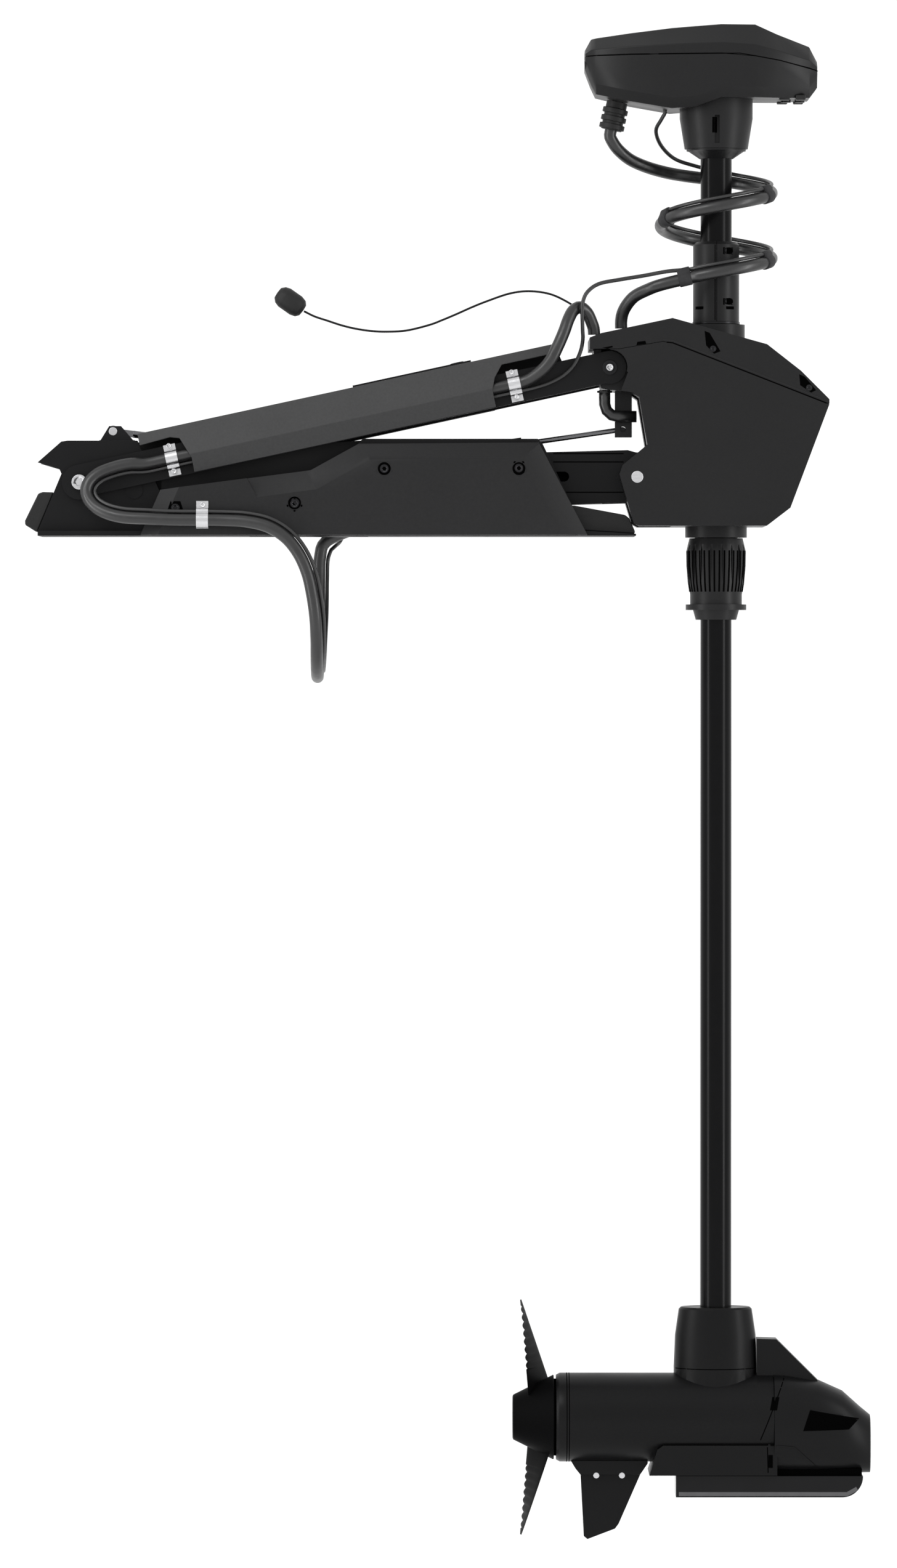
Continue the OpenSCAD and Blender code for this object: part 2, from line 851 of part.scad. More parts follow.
module collar_screws() {
    color("#4a4b4d")
    for (z = collar_screw_z, s = [-1, 1])
        translate([shaft_x + 8, s * collar_screw_y, z])
        rotate([0, 90, 0])
        screw(1.6, 16, 2.9, 2);
}

// ---------- shaft and control head ----------

module shaft_tube() {
    color("#131416")
    shaft_ring(shaft_r, shaft_r - 3.2, motor_z + motor_r + 2, shaft_top);
}

// Stations along the head: x, part of the half width, underside, seam and top
head_stations = [
    [279, 0.52, 470, 483, 489.5], [285, 0.62, 455, 483.1, 500.5], [290, 0.7, 444.8, 483.1, 501.5],
    [325, 0.94, 437.1, 483.6, 506], [366, 1, 430, 484, 511], [390, 1, 432, 484.3, 513],
    [416, 1, 441.2, 484.4, 515], [450, 0.97, 441.2, 481.5, 514.7], [472, 0.88, 440.8, 478, 505],
    [505, 0.62, 441.4, 470.8, 492.9], [513, 0.5, 452, 468.6, 478]
];
head_cut = 0.15;

// Rings of the lower head shell, drawn inward by skin
function head_base_rings(skin, lift) = [
    for (s = head_stations)
        let (w = head_half_width * s[1] - skin, low = s[2] + skin, high = s[3] - head_cut + lift)
        [[s[0], -w, high], [s[0], w, high], [s[0], w, high - 4 - lift], [s[0], 0.93 * w, low + 10],
         [s[0], 0.78 * w, low], [s[0], -0.78 * w, low], [s[0], -0.93 * w, low + 10],
         [s[0], -w, high - 4 - lift]]
];
function head_cover_rings(skin, drop) = [
    for (s = head_stations)
        let (w = head_half_width * s[1] - skin, low = s[3] + head_cut - drop, high = s[4] - skin)
        [[s[0], -w, low], [s[0], -w, low + 0.35 * (high - low)], [s[0], -0.68 * w, high],
         [s[0], 0, high + 1.2], [s[0], 0.68 * w, high], [s[0], w, low + 0.35 * (high - low)],
         [s[0], w, low]]
];

// The stations left when the first and last are taken off, for a hollow
function inner_rings(rings) = [for (i = [1 : len(rings) - 2]) rings[i]];

module head_base() {
    neck = [
        [shaft_r + 0.02, 381.6], [17, 381.6], [28, 389], [30, 389.4], [30, 391.4], [32, 391.5],
        [32.4, 394], [36.9, 422], [36.9, 445], [shaft_r + 0.02, 445]
    ];
    color("#1f2022")
    difference() {
        union() {
            difference() {
                loft(head_base_rings(0, 0));
                loft(inner_rings(head_base_rings(3, 5)));
            }
            translate([shaft_x, 0, 0]) rotate_extrude($fn = fine) polygon(neck);
            for (x = [482.3, 496.3])
                translate([x, 0, 438.6]) cylinder(r = 5, h = 4);
        }
        translate([shaft_x, 0, 380]) cylinder(r = shaft_r + 0.02, h = 90, $fn = fine);
        translate([shaft_x - 2.4, -40, 396]) cube([4.8, 10, 28]);
        translate([360, 0, 431]) rotate([0, -12, 0]) translate([0, 0, -12]) cylinder(r = 2.6, h = 20);
    }
}

module head_cover() {
    color("#242528")
    difference() {
        loft(head_cover_rings(0, 0));
        loft(inner_rings(head_cover_rings(3, 5)));
    }
}

module head_board() {
    color("#1c5a34")
    union() {
        translate([335, -40, 470]) cube([135, 80, 1.6]);
        for (x = [350, 380, 430])
            translate([x, -14, 471.6]) cube([18, 18, 2.4]);
        translate([350, 12, 471.6]) cube([90, 12, 7]);
    }
}

gland_top = [312, 0, 439.2];
gland_tilt = 12.3;
gland_length = 29;
gland_end = gland_top - gland_length * [sin(gland_tilt), 0, cos(gland_tilt)];

module cable_gland() {
    color("#0f1011")
    translate(gland_end)
    rotate([0, gland_tilt, 0])
    union() {
        cylinder(r = 10.6, h = gland_length);
        for (z = [1, 9, 17])
            translate([0, 0, z]) cylinder(r = 12.8, h = 5);
    }
}

// ---------- motor ----------

function oval(x, z, rx, ry) = [
    for (a = [0 : 15 : 345]) [x + rx * cos(a), ry * sin(a), z]
];

module strut_cap() {
    top = motor_z + 112;
    color("#1c1d1f")
    difference() {
        loft([
            oval(411.4, motor_z + 20, 42, 31), oval(411.4, motor_z + 52, 42, 31),
            oval(411.6, motor_z + 84, 40.8, 29), oval(411.5, top - 2, 37, 26.5),
            oval(411.5, top, 35, 25)
        ]);
        bar_x(300, 500, motor_z, motor_r + 0.03, motor_r + 0.03);
        translate([shaft_x, 0, motor_z]) cylinder(r = shaft_r + 0.02, h = 140, $fn = fine);
    }
}

module motor_tube() {
    color("#18191b")
    difference() {
        bar_x(tube_x[0], tube_x[1], motor_z, motor_r, motor_r);
        bar_x(tube_x[0] - 1, 446, motor_z, motor_r - 3.8, motor_r - 3.8);
        bar_x(454, tube_x[1] + 1, motor_z, motor_r - 3.8, motor_r - 3.8);
        bar_x(440, 460, motor_z, drive_r + running, drive_r + running);
    }
}

module stator() {
    color("#9a5a2c")
    difference() {
        bar_x(305, 415, motor_z, motor_r - 4, motor_r - 4);
        bar_x(304, 416, motor_z, rotor_r + 1, rotor_r + 1);
        for (a = [0 : 40 : 320])
            translate([0, 0, motor_z]) rotate([a, 0, 0]) translate([304, -2, 0]) cube([112, 4, 36]);
    }
}

module rotor() {
    color("#b9bbbe")
    union() {
        bar_x(307, 413, motor_z, rotor_r, rotor_r);
        bar_x(212, 456, motor_z, drive_r, drive_r);
    }
}

module tail_bell() {
    color("#1a1b1d")
    difference() {
        union() {
            bar_x(250.2, 254, motor_z, 43, 45);
            bar_x(254, tube_x[0] - 0.1, motor_z, 45, 45);
            bar_x(260, 268, motor_z, motor_r - 3.9, motor_r - 3.9);
        }
        bar_x(249, 270, motor_z, drive_r + running, drive_r + running);
        bar_x(263, 270, motor_z, 34, 34);
    }
}

module prop_nut() {
    color("#8b8d90")
    difference() {
        translate([207, 0, motor_z]) rotate([0, 90, 0]) cylinder(r = 9, h = 9, $fn = 6);
        bar_x(206, 217, motor_z, drive_r + 0.02, drive_r + 0.02);
    }
}

// A blade station at radius r: chord, pitch and the shift of its middle in x and y
function blade_chord(r) = 50 * sin(20 + 150 * pow((r - 20) / (prop_r - 18), 1.15));
function blade_turn(r) = blade_pitch * (1.25 - 0.65 * (r - 20) / (prop_r - 20));
function blade_ring(r) =
    let (
        t = (r - 20) / (prop_r - 20), c = blade_chord(r), a = blade_turn(r),
        thick = 5.5 - 4.2 * t, x0 = 230 - 17 * t, y0 = -16 * t * t
    )
    [
        for (i = [0 : 11])
            let (
                s = cos(30 * i) * c / 2, h = sin(30 * i) * thick / 2,
                x = x0 + s * sin(a) + h * cos(a), y = y0 + s * cos(a) - h * sin(a)
            )
            [x, y, r]
    ];

module propeller() {
    color("#161719")
    difference() {
        union() {
            bar_x(hub_x[0], hub_x[1], motor_z, 22.6, 42.8);
            for (a = [0, 180])
                translate([0, 0, motor_z])
                rotate([a, 0, 0])
                loft([for (i = [0 : 13]) blade_ring(20 + i * (prop_r - 20) / 13)]);
        }
        bar_x(hub_x[0] - 1, 216, motor_z, 14, 14);
        bar_x(210, 250, motor_z, drive_r + 0.02, drive_r + 0.02);
        bar_x(232, 250, motor_z, 12, 12);
    }
}

// A rounded ring across the nose at x, between two heights, w wide each way
function nose_ring(x, w, low, high) = [
    for (a = [0 : 15 : 345])
        let (
            c = cos(a), s = sin(a),
            y = w * sign(c) * pow(abs(c), 0.75),
            z = (low + high) / 2 + (high - low) / 2 * sign(s) * pow(abs(s), 0.75)
        )
        [x, y, z]
];
function nose_rings(skin) = [
    for (s = [
        [470.3, 45, -55.5, 44.6], [483, 45, -55.7, 43.8], [515, 43.5, -56, 38.3],
        [540, 39, -56, 27.1], [558, 32, -56, 11], [568, 24, -56, 2.8]
    ])
        nose_ring(s[0] - (s[0] > 560 ? skin : 0), s[1] - skin, motor_z + s[2] + skin, motor_z + s[3] - skin)
];

module nose_cone() {
    shroud = [
        [344, motor_z - 56], [347, motor_z - 47], [352, motor_z - 30], [358, motor_z - 25.6],
        [473, motor_z - 25.6], [473, motor_z - 55.9]
    ];
    fairing = [
        [453.2, motor_z + 30], [453.2, motor_z + 80.4], [473.1, motor_z + 79.8],
        [515, motor_z + 38], [500, motor_z + 20], [480, motor_z + 20], [470.4, motor_z + 30]
    ];
    color("#1e1f21")
    union() {
        difference() {
            union() {
                loft(nose_rings(0));
                slab(fairing, -13, 13);
            }
            loft(nose_rings(4));
            bar_x(440, 470.2, motor_z, motor_r + 0.05, motor_r + 0.05);
            translate([411.4, 0, motor_z]) cylinder(r = 42.6, h = 120);
        }
        difference() {
            slab(shroud, -40, 40);
            bar_x(300, 480, motor_z, motor_r + 0.05, motor_r + 0.05);
            translate([360, -24, motor_z - 60]) cube([106, 48, 10]);
        }
    }
}

module transducer() {
    x1 = 560;
    top = motor_z - 57.3;
    color("#0b0b0c")
    union() {
        slab([[371, top - 21.5], [371, top], [x1, top], [x1, top - 2], [x1 - 20, top - 21.5]], -30, 30);
        intersection() {
            bar_y([x1 - 21, top - 0.5], 21, -30, 30);
            translate([x1 - 21, -30, top - 21.5]) cube([21, 60, 21]);
        }
    }
}

skeg_x = [291, 317];
skeg_screw_z = 58.6;

module skeg() {
    foot = [
        [263.2, motor_z - 30], [263.2, motor_z - 40], [269.7, motor_z - 51], [274.7, motor_z - 57.2],
        [335.4, motor_z - 57.2], [343, motor_z - 46], [343, motor_z - 30]
    ];
    fin = [
        [274.7, motor_z - 50], [278.4, motor_z - 120.5], [282.1, motor_z - 123.6],
        [310, motor_z - 113], [313.7, motor_z - 108], [335.4, motor_z - 58.5], [335.4, motor_z - 50]
    ];
    color("#17181a")
    difference() {
        union() {
            slab(foot, -13, 13);
            slab(fin, -3.5, 3.5);
        }
        bar_x(260, 350, motor_z, motor_r + 0.04, motor_r + 0.04);
        for (x = skeg_x)
            bar_y([x, motor_z - skeg_screw_z], 2.5, -5, 5);
        both_sides()
        for (x = skeg_x)
            bar_y([x, motor_z - skeg_screw_z], 3.4, 3.5, 14);
    }
}

module skeg_screws() {
    color("silver")
    for (x = skeg_x)
        union() {
            bar_y([x, motor_z - skeg_screw_z], 2.45, -7, 7);
            both_sides() bar_y([x, motor_z - skeg_screw_z], 3.1, 3.6, 7);
        }
}

// ---------- cables and pull cord ----------

// A point on the coil around the shaft; a is measured from +Y and falls as the coil drops
function coil_point(a, z) = [shaft_x + coil_r * sin(a), coil_r * cos(a), z];
coil_pitch = 66;
coil_step = 22.5;
coil_split_z = 298;
up = [0, 0, 1];

// From the housing up to the split at the back, then from the split up to the gland
lower_coil_route = concat(
    [
        [315.5, -26, 209.4], [315.5, -26.5, 217], [317, -28, 225], [321.5, -31, 233.5],
        [329, -35.5, 241.5], [341, -40.5, 247.5], [355, -46.5, 252.5]
    ],
    [
        for (a = [210 : -coil_step : 5])
            coil_point(a, coil_split_z - a / 360 * coil_pitch)
    ],
    [coil_point(2.5, coil_split_z - 0.46)]
);
upper_coil_route = concat(
    [for (a = [0 : -coil_step : -337.5]) coil_point(a, coil_split_z - a / 360 * coil_pitch)],
    [
        [382, 47, 367], [362, 37, 370], [342, 25, 375], [325, 14, 382], [312.5, 5, 392],
        [306, 1, 401.5], [304.7, 0, 406], [305.7, 0, 410.4]
    ]
);

// The sensor cable on top of the coil: in from the arm, and on up into the head
thin_lower_route = concat(
    [
        [276.2, -54.7, 207], [276, -56, 213], [275.8, -57, 224], [276.5, -57, 235],
        [281, -55, 245], [292.6, -52, 253.3], [314, -49.5, 257.7], [337, -48.5, 261.5],
        [362, -49, 266]
    ],
    beside([for (a = [210 : -coil_step : 5]) coil_point(a, coil_split_z - a / 360 * coil_pitch)], up),
    [coil_point(2.5, coil_split_z - 0.46) + thin_step * up]
);
thin_upper_route = concat(
    beside([for (a = [0 : -coil_step : -337.5]) coil_point(a, coil_split_z - a / 360 * coil_pitch)], up),
    [
        [412, 55, 373], [392, 51.5, 377.5], [371, 44, 384.4], [357, 30, 397], [351.5, 15, 411],
        [356.5, 5, 421.5], [360.4, 0.6, 428.5], [359.7, 0, 432.5], [358.7, 0, 437]
    ]
);

module coil_cable_lower() {
    color("#1a1a1c")
    union() {
        cable(lower_coil_route, cable_d / 2);
        cable(thin_lower_route, thin_d / 2, 6);
    }
}

module coil_cable_upper() {
    color("#1a1a1c")
    union() {
        cable(upper_coil_route, cable_d / 2);
        cable(thin_upper_route, thin_d / 2, 6);
    }
}

arm_cable_y = -plate_out - cable_d / 2 - 0.4;

// A point beside the arm, at u along it and v across it
function arm_point(u, v, y) = [
    pivot_p[0] + u * cos(arm_slope) - v * sin(arm_slope), y,
    pivot_p[1] + u * sin(arm_slope) + v * cos(arm_slope)
];

// From the base clip back along the cover, round the arm pivot and up the arm
turn_route = concat(
    [
        [clip_x + 6, lead_y, lead_z], [clip_x - 10, lead_y, lead_z], [-140, lead_y, 15.8],
        [-162, lead_y + 0.5, 17], [-185, -82, 18.4], [-203, -78, 23], [-216, -73, 31],
        [-222, -69, 42], [-220, -66, 53], [-211, -63, 62], [-197, -60, 68], [-180, -57.5, 72]
    ],
    [for (u = [70 : 25 : 445]) arm_point(u, arm_cable_v, arm_cable_y)]
);

loop_route = [
    arm_point(446, arm_cable_v, arm_cable_y), arm_point(457, arm_cable_v, arm_cable_y),
    arm_point(466, arm_cable_v + 2, arm_cable_y - 2.5), [236, -62, 167], [244.5, -65, 177],
    [251.5, -65.5, 191], [257.5, -63, 205], [262, -58, 217.5], [267, -52, 226.5],
    [274, -46, 230], [281, -41.5, 224.5], [285.5, -39.5, 215], [287.5, -38.5, 209],
    [288, -38.5, 202.9]
];

// The sensor cable leaves the clip below the power cable and rises in front of the housing
thin_arm_y = -plate_out - thin_d / 2 - 0.9;
thin_loop_route = [
    arm_point(446, arm_cable_v - thin_step, arm_cable_y),
    arm_point(457, arm_cable_v - thin_step, arm_cable_y),
    arm_point(470, arm_cable_v - thin_step + 0.5, thin_arm_y - 1.5), [244.5, thin_arm_y, 154.4],
    [258, thin_arm_y, 162], [267.7, -52, 172], [274, -53, 185], [276.4, -54, 197], [276.2, -54.6, 206]
];

module arm_turn_cable() {
    color("#1a1a1c")
    union() {
        cable(turn_route, cable_d / 2);
        cable(beside(turn_route), thin_d / 2, 6);
    }
}

module housing_loop_cable() {
    color("#1a1a1c")
    union() {
        cable(loop_route, cable_d / 2);
        cable(thin_loop_route, thin_d / 2, 6);
    }
}

// The free lead: forward from the clip, down past the deck edge, round and up behind the base
hank_y = base_half_width + 12;
lead_route = [
    [clip_x + 7.5, lead_y, lead_z], [-84, lead_y - 0.5, 15.2], [-62, -87, 14], [-40, -89, 9],
    [-22, -90, -2], [-9, -90, -18], [0, -90, -38], [5, -89, -60], [8, -85, -82], [9, -75, -104],
    [9, -58, -124], [9, -35, -137], [9, -8, -142], [9, 20, -139], [9, 46, -129], [9, 68, -112],
    [9, 84, -91], [9, 93, -67], [9, 97, -42], [10, 97, -20], [16, 96, -4]
];

connector_at = [56, hank_y + 31, 16];
thin_lead_route = concat(
    beside(lead_route, [1, 0, 1]),
    [
        [26, 105, -8], [30, 115, -4], [35, 120.5, 5], [42, 121, 12], [49, 121, 15.5],
        connector_at - [0.5, 0, 0]
    ]
);

module power_lead() {
    color("#1a1a1c")
    union() {
        cable(lead_route, cable_d / 2);
        cable(thin_lead_route, thin_d / 2, 6);
    }
}

hank_run = 190;
hank_r = 44;
hank_x = 24;
hank_z = 46;

module lead_hank() {
    thick = 2 * cable_d;
    color("#1a1a1c")
    union() {
        translate([hank_x, hank_y, hank_z - hank_r]) cube([hank_run, thick, 2 * hank_r]);
        for (x = [hank_x, hank_x + hank_run])
            bar_y([x, hank_z], hank_r, hank_y, hank_y + thick);
    }
}

module lead_plug() {
    color("#202022")
    union() {
        translate([hank_x + 31, hank_y + 2 * cable_d + 0.2, hank_z])
        union() {
            translate([-30, 0, -14]) cube([60, 20, 28]);
            translate([30, 10, 0]) rotate([0, 90, 0]) cylinder(r = 8, h = 16);
        }
        translate(connector_at) rotate([0, 90, 0]) cylinder(r = 5.2, h = 30);
    }
}

handle_centre = [-18.6, 0, 237.5];
handle_tilt = 35.2;

cord_route = [
    [-4.8, 0, 227.8], [6, 0, 222.5], [19, 0, 218.2], [33, 0, 213.6], [47, 0, 210.2],
    [63, 0, 207.8], [79, 0, 207.1], [99, 0, 208.3], [122, 0, 213.9], [136, 0, 219.2],
    [150, 0, 225.1], [165, 0, 231.8], [180, 0, 237.8], [203, 0, 245.6], [223, -0.5, 248],
    [244, -1, 245.1], [262, -2, 236.8], [274, -3, 228], [283, -4, 217.6], [291, -5, 203.8]
];

module pull_cord() {
    release_route = [
        [311, 12, 145.4], [312, 12, 138], [314, 12, 128], [317, 12, 114], [320, 12, 104],
        [322, 12, 96]
    ];
    color("#303133")
    union() {
        cable(cord_route, cord_d / 2, 8);
        cable(release_route, cord_d / 2, 8, [1, 0, 0]);
    }
}

module pull_handle() {
    profile = [
        [0, -16], [6, -15.5], [9.5, -12], [11.1, -7], [11.1, 7], [9.5, 12.5], [6, 15.5], [1.3, 16],
        [1.3, 12], [0, 12]
    ];
    color("#0e0e0f")
    translate(handle_centre)
    rotate([0, 90 + handle_tilt, 0])
    rotate_extrude() polygon(profile);
}

base_frame();
left_base_cover();
right_base_cover();
base_cover_screws();
motor_rest();
rear_bumper();
strut_bracket();
bracket_pin();
arm_pivot_bolts();
base_cable_clip();
upper_arm_frame();
upper_arm_cover();
indicator_panel();
power_button();
arm_cable_clips();
front_pivot_bolts();
lower_arm();
latch_hook();
front_strut_cylinder();
front_strut_rod();
rear_strut_cylinder();
rear_strut_rod();
steering_housing();
housing_cover();
housing_screws();
steering_gearmotor();
sleeve_bearings();
cable_elbow();
lower_arm_pin();
worm();
stabiliser_collar();
drive_sleeve();
worm_wheel();
depth_collar();
collar_screws();
shaft_tube();
head_base();
head_cover();
head_board();
cable_gland();
strut_cap();
motor_tube();
stator();
tail_bell();
nose_cone();
transducer();
skeg();
skeg_screws();
rotor();
propeller();
prop_nut();
coil_cable_lower();
coil_cable_upper();
arm_turn_cable();
housing_loop_cable();
power_lead();
lead_hank();
lead_plug();
pull_cord();
pull_handle();
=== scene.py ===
"""Looks of the bow-mount trolling motor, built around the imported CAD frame.

Blender's units are metres. Sizes here are in millimetres, and are turned into metres by mm() or
as a mesh is made. X points over the bow, Y to port and Z up, as in the frame.
"""

import json
import math

import bmesh
import bpy
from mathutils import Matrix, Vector
from mathutils.bvhtree import BVHTree


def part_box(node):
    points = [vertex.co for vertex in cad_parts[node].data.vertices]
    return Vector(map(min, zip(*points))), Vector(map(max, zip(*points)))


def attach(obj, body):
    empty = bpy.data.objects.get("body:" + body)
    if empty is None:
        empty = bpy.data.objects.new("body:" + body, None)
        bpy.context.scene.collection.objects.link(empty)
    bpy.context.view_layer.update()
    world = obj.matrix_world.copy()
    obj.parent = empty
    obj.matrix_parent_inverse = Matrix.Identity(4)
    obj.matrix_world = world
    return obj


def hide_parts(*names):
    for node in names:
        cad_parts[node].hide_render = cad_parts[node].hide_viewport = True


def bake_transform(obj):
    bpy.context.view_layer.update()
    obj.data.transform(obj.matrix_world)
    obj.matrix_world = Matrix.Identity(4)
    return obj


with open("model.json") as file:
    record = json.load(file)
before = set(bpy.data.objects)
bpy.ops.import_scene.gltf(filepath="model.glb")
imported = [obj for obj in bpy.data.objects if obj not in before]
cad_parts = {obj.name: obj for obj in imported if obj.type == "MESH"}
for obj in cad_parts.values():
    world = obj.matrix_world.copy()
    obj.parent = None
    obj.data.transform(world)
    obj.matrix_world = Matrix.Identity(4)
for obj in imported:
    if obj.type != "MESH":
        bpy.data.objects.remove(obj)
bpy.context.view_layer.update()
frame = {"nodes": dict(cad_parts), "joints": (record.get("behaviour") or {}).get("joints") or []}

NODES = frame["nodes"]
STARBOARD, PORT = -1, 1


def mm(*values):
    """A point or a length given in millimetres, in metres."""
    return values[0] * 0.001 if len(values) == 1 else Vector(values) * 0.001


def box_mm(node):
    """A CAD node's lowest and highest corner, in millimetres."""
    low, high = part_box(node)
    return low * 1000, high * 1000


# ---------------------------------------------------------------- places taken from the frame

JOINT = {j["name"]: j for j in frame["joints"]}
PIVOT_P = Vector(JOINT["stow"]["pos_m"]) * 1000
PIVOT_A = Vector(JOINT["housing_tilt"]["pos_m"]) * 1000
PIVOT_C = Vector((-175, 0, PIVOT_P.z - 8))
SHAFT_X = JOINT["steering"]["pos_m"][0] * 1000
MOTOR_AXIS = Vector((0, 0, JOINT["propeller_spin"]["pos_m"][2] * 1000))
CLIP_FRONT_X = box_mm("base_cable_clip")[1].x

# ---------------------------------------------------------------- sizes shared by several pieces

ARM_SLOPE = math.radians(12.2)
CHEEK_Y = 40
CABLE_D = 12.5
THIN_D = 4
THIN_STEP = (CABLE_D + THIN_D) / 2 + 0.2
PULL_CORD_D = 2.2
BLADE_ROOT, BLADE_TIP = 24, 119
LEAD_Y, LEAD_Z = -84.6, 15.5
PLUG_BOSS_X, PLUG_Y = 101, 125.2
COIL_R, COIL_PITCH, SPLIT_Z = 56, 66, 298
ARM_CABLE_Y, ARM_CABLE_V, ARM_CLIP_END = -54.65, 4, 445
UP = Vector((0, 0, 1))


# ---------------------------------------------------------------- camera

# The picture is VIEW_HEIGHT tall at a plane NEAR_SIDE in front of the target.
VIEW_HEIGHT = 1578.5
NEAR_SIDE = 50
VIEW_DISTANCE = 9000
VIEW_RISE = math.radians(0.8)
VIEW_TARGET = Vector((141.4, 0, -250.5))
SENSOR = 36


def make_camera():
    """A long lens looking square at the starboard side, a little from above."""
    data = bpy.data.cameras.new("camera")
    data.sensor_width = SENSOR
    data.lens = SENSOR * (VIEW_DISTANCE - NEAR_SIDE) / VIEW_HEIGHT
    data.clip_end = 100
    camera = bpy.data.objects.new("camera", data)
    back = Vector((0, -math.cos(VIEW_RISE), math.sin(VIEW_RISE)))
    camera.location = (VIEW_TARGET + back * VIEW_DISTANCE) * 0.001
    camera.rotation_euler = (-back).to_track_quat("-Z", "Y").to_euler()
    bpy.context.scene.collection.objects.link(camera)
    bpy.context.scene.camera = camera


make_camera()
bpy.context.scene.view_settings.view_transform = "Standard"


# ---------------------------------------------------------------- lines, tubes and meshes


def smooth_line(points, step=3.0):
    """Points about step apart along a smooth curve through the given ones, in millimetres."""
    ends = [2 * points[0] - points[1], *points, 2 * points[-1] - points[-2]]
    line = []
    for a, b, c, d in zip(ends, ends[1:], ends[2:], ends[3:]):
        count = max(1, round((c - b).length / step))
        for i in range(count):
            t = i / count
            line.append(
                0.5
                * (
                    2 * b
                    + (c - a) * t
                    + (2 * a - 5 * b + 4 * c - d) * t * t
                    + (3 * b - a - 3 * c + d) * t**3
                )
            )
    return line + [points[-1]]


def new_object(name, data):
    """An object of this data, put in the scene."""
    obj = bpy.data.objects.new(name, data)
    bpy.context.scene.collection.objects.link(obj)
    return obj


def add_mesh(name, points, faces, sharp=40):
    """A mesh object from points in millimetres, with its edges past the sharp angle left crisp."""
    data = bpy.data.meshes.new(name)
    data.from_pydata([Vector(p) * 0.001 for p in points], [], faces)
    data.validate()
    work = bmesh.new()
    work.from_mesh(data)
    bmesh.ops.recalc_face_normals(work, faces=work.faces)
    work.to_mesh(data)
    work.free()
    data.shade_smooth()
    data.set_sharp_from_angle(angle=math.radians(sharp))
    return new_object(name, data)


def ring_faces(rings, sides, closed=False):
    """Faces that join rings of the same number of points."""
    faces = []
    last = rings if closed else rings - 1
    for i in range(last):
        k = (i + 1) % rings
        for j in range(sides):
            n = (j + 1) % sides
            faces.append((i * sides + j, i * sides + n, k * sides + n, k * sides + j))
    return faces


def loft(name, rings, sharp=40):
    """A closed skin over rings of points."""
    sides = len(rings[0])
    faces = ring_faces(len(rings), sides)
    faces.append(tuple(range(sides))[::-1])
    faces.append(tuple((len(rings) - 1) * sides + j for j in range(sides)))
    return add_mesh(name, [p for ring in rings for p in ring], faces, sharp=sharp)


def tube_rings(line, radius, sides):
    """Rings round a line, kept from twisting."""
    rings = []
    side = None
    for i, p in enumerate(line):
        along = (line[min(i + 1, len(line) - 1)] - line[max(i - 1, 0)]).normalized()
        if side is None:
            side = along.orthogonal().normalized()
        side = (side - along * side.dot(along)).normalized()
        other = along.cross(side)
        turn = [2 * math.pi * j / sides for j in range(sides)]
        rings.append([p + radius * (side * math.cos(a) + other * math.sin(a)) for a in turn])
    return rings


def tube(name, line, radius, sides):
    """A round bar along a line."""
    return loft(name, tube_rings(line, radius, sides), sharp=60)


def lathe(name, profile, centre, sharp=30):
    """A piece turned about X: profile holds (radius, x) pairs and closes on itself."""
    sides = 96
    points = []
    for j in range(sides):
        a = 2 * math.pi * j / sides
        for r, h in profile:
            points.append(centre + Vector((h, r * math.cos(a), r * math.sin(a))))
    faces = ring_faces(sides, len(profile), closed=True)
    return add_mesh(name, points, faces, sharp=sharp)


def prism(name, outline, y0, y1):
    """An outline of (x, z) pairs given thickness along Y."""
    n = len(outline)
    points = [(x, y0, z) for x, z in outline] + [(x, y1, z) for x, z in outline]
    faces = [tuple(range(n)), tuple(range(2 * n - 1, n - 1, -1))]
    faces += [(j, j + n, (j + 1) % n + n, (j + 1) % n) for j in range(n)]
    return add_mesh(name, points, faces, sharp=30)


def apply_modifiers(obj):
    """Replaces the object's mesh with what its modifiers make of it."""
    graph = bpy.context.evaluated_depsgraph_get()
    graph.update()
    done = bpy.data.meshes.new_from_object(obj.evaluated_get(graph))
    obj.modifiers.clear()
    obj.data = done
    return obj


def add_bevel(obj, width, segments):
    """Adds a modifier that rounds the edges past 30 degrees. width is in millimetres."""
    bevel = obj.modifiers.new("edges", "BEVEL")
    bevel.width = mm(width)
    bevel.segments = segments
    bevel.limit_method = "ANGLE"
    bevel.angle_limit = math.radians(30)
    bevel.harden_normals = True
    bevel.use_clamp_overlap = True
    return bevel


def bevelled(obj, width):
    """Rounds the object's edges, with shading that follows the flat faces."""
    add_bevel(obj, width, 3).miter_outer = "MITER_ARC"
    obj.data.shade_smooth()
    return apply_modifiers(obj)


def cut(obj, tool):
    """Cuts the tool's shape out of the object and throws the tool away."""
    boolean = obj.modifiers.new("cut", "BOOLEAN")
    boolean.operation = "DIFFERENCE"
    boolean.solver = "EXACT"
    boolean.object = tool
    apply_modifiers(obj)
    bpy.data.objects.remove(tool)
    return obj


def joined(name, pieces):
    """One object from several, with their materials kept."""
    work = bmesh.new()
    materials = []
    for piece in pieces:
        piece.data.transform(piece.matrix_world)
        shift = len(materials)
        materials += list(piece.data.materials)
        for face in piece.data.polygons:
            face.material_index += shift
        work.from_mesh(piece.data)
        bpy.data.objects.remove(piece)
    data = bpy.data.meshes.new(name)
    work.to_mesh(data)
    work.free()
    for m in materials:
        data.materials.append(m)
    return new_object(name, data)


def paint(obj, material):
    """Gives a piece its one material."""
    obj.data.materials.clear()
    obj.data.materials.append(material)
    return obj


def place(obj, material, body, replaces=()):
    """Gives a piece its material and its body, and hides the parts it stands for."""
    paint(obj, material)
    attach(obj, body)
    if replaces:
        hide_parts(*replaces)
    return obj


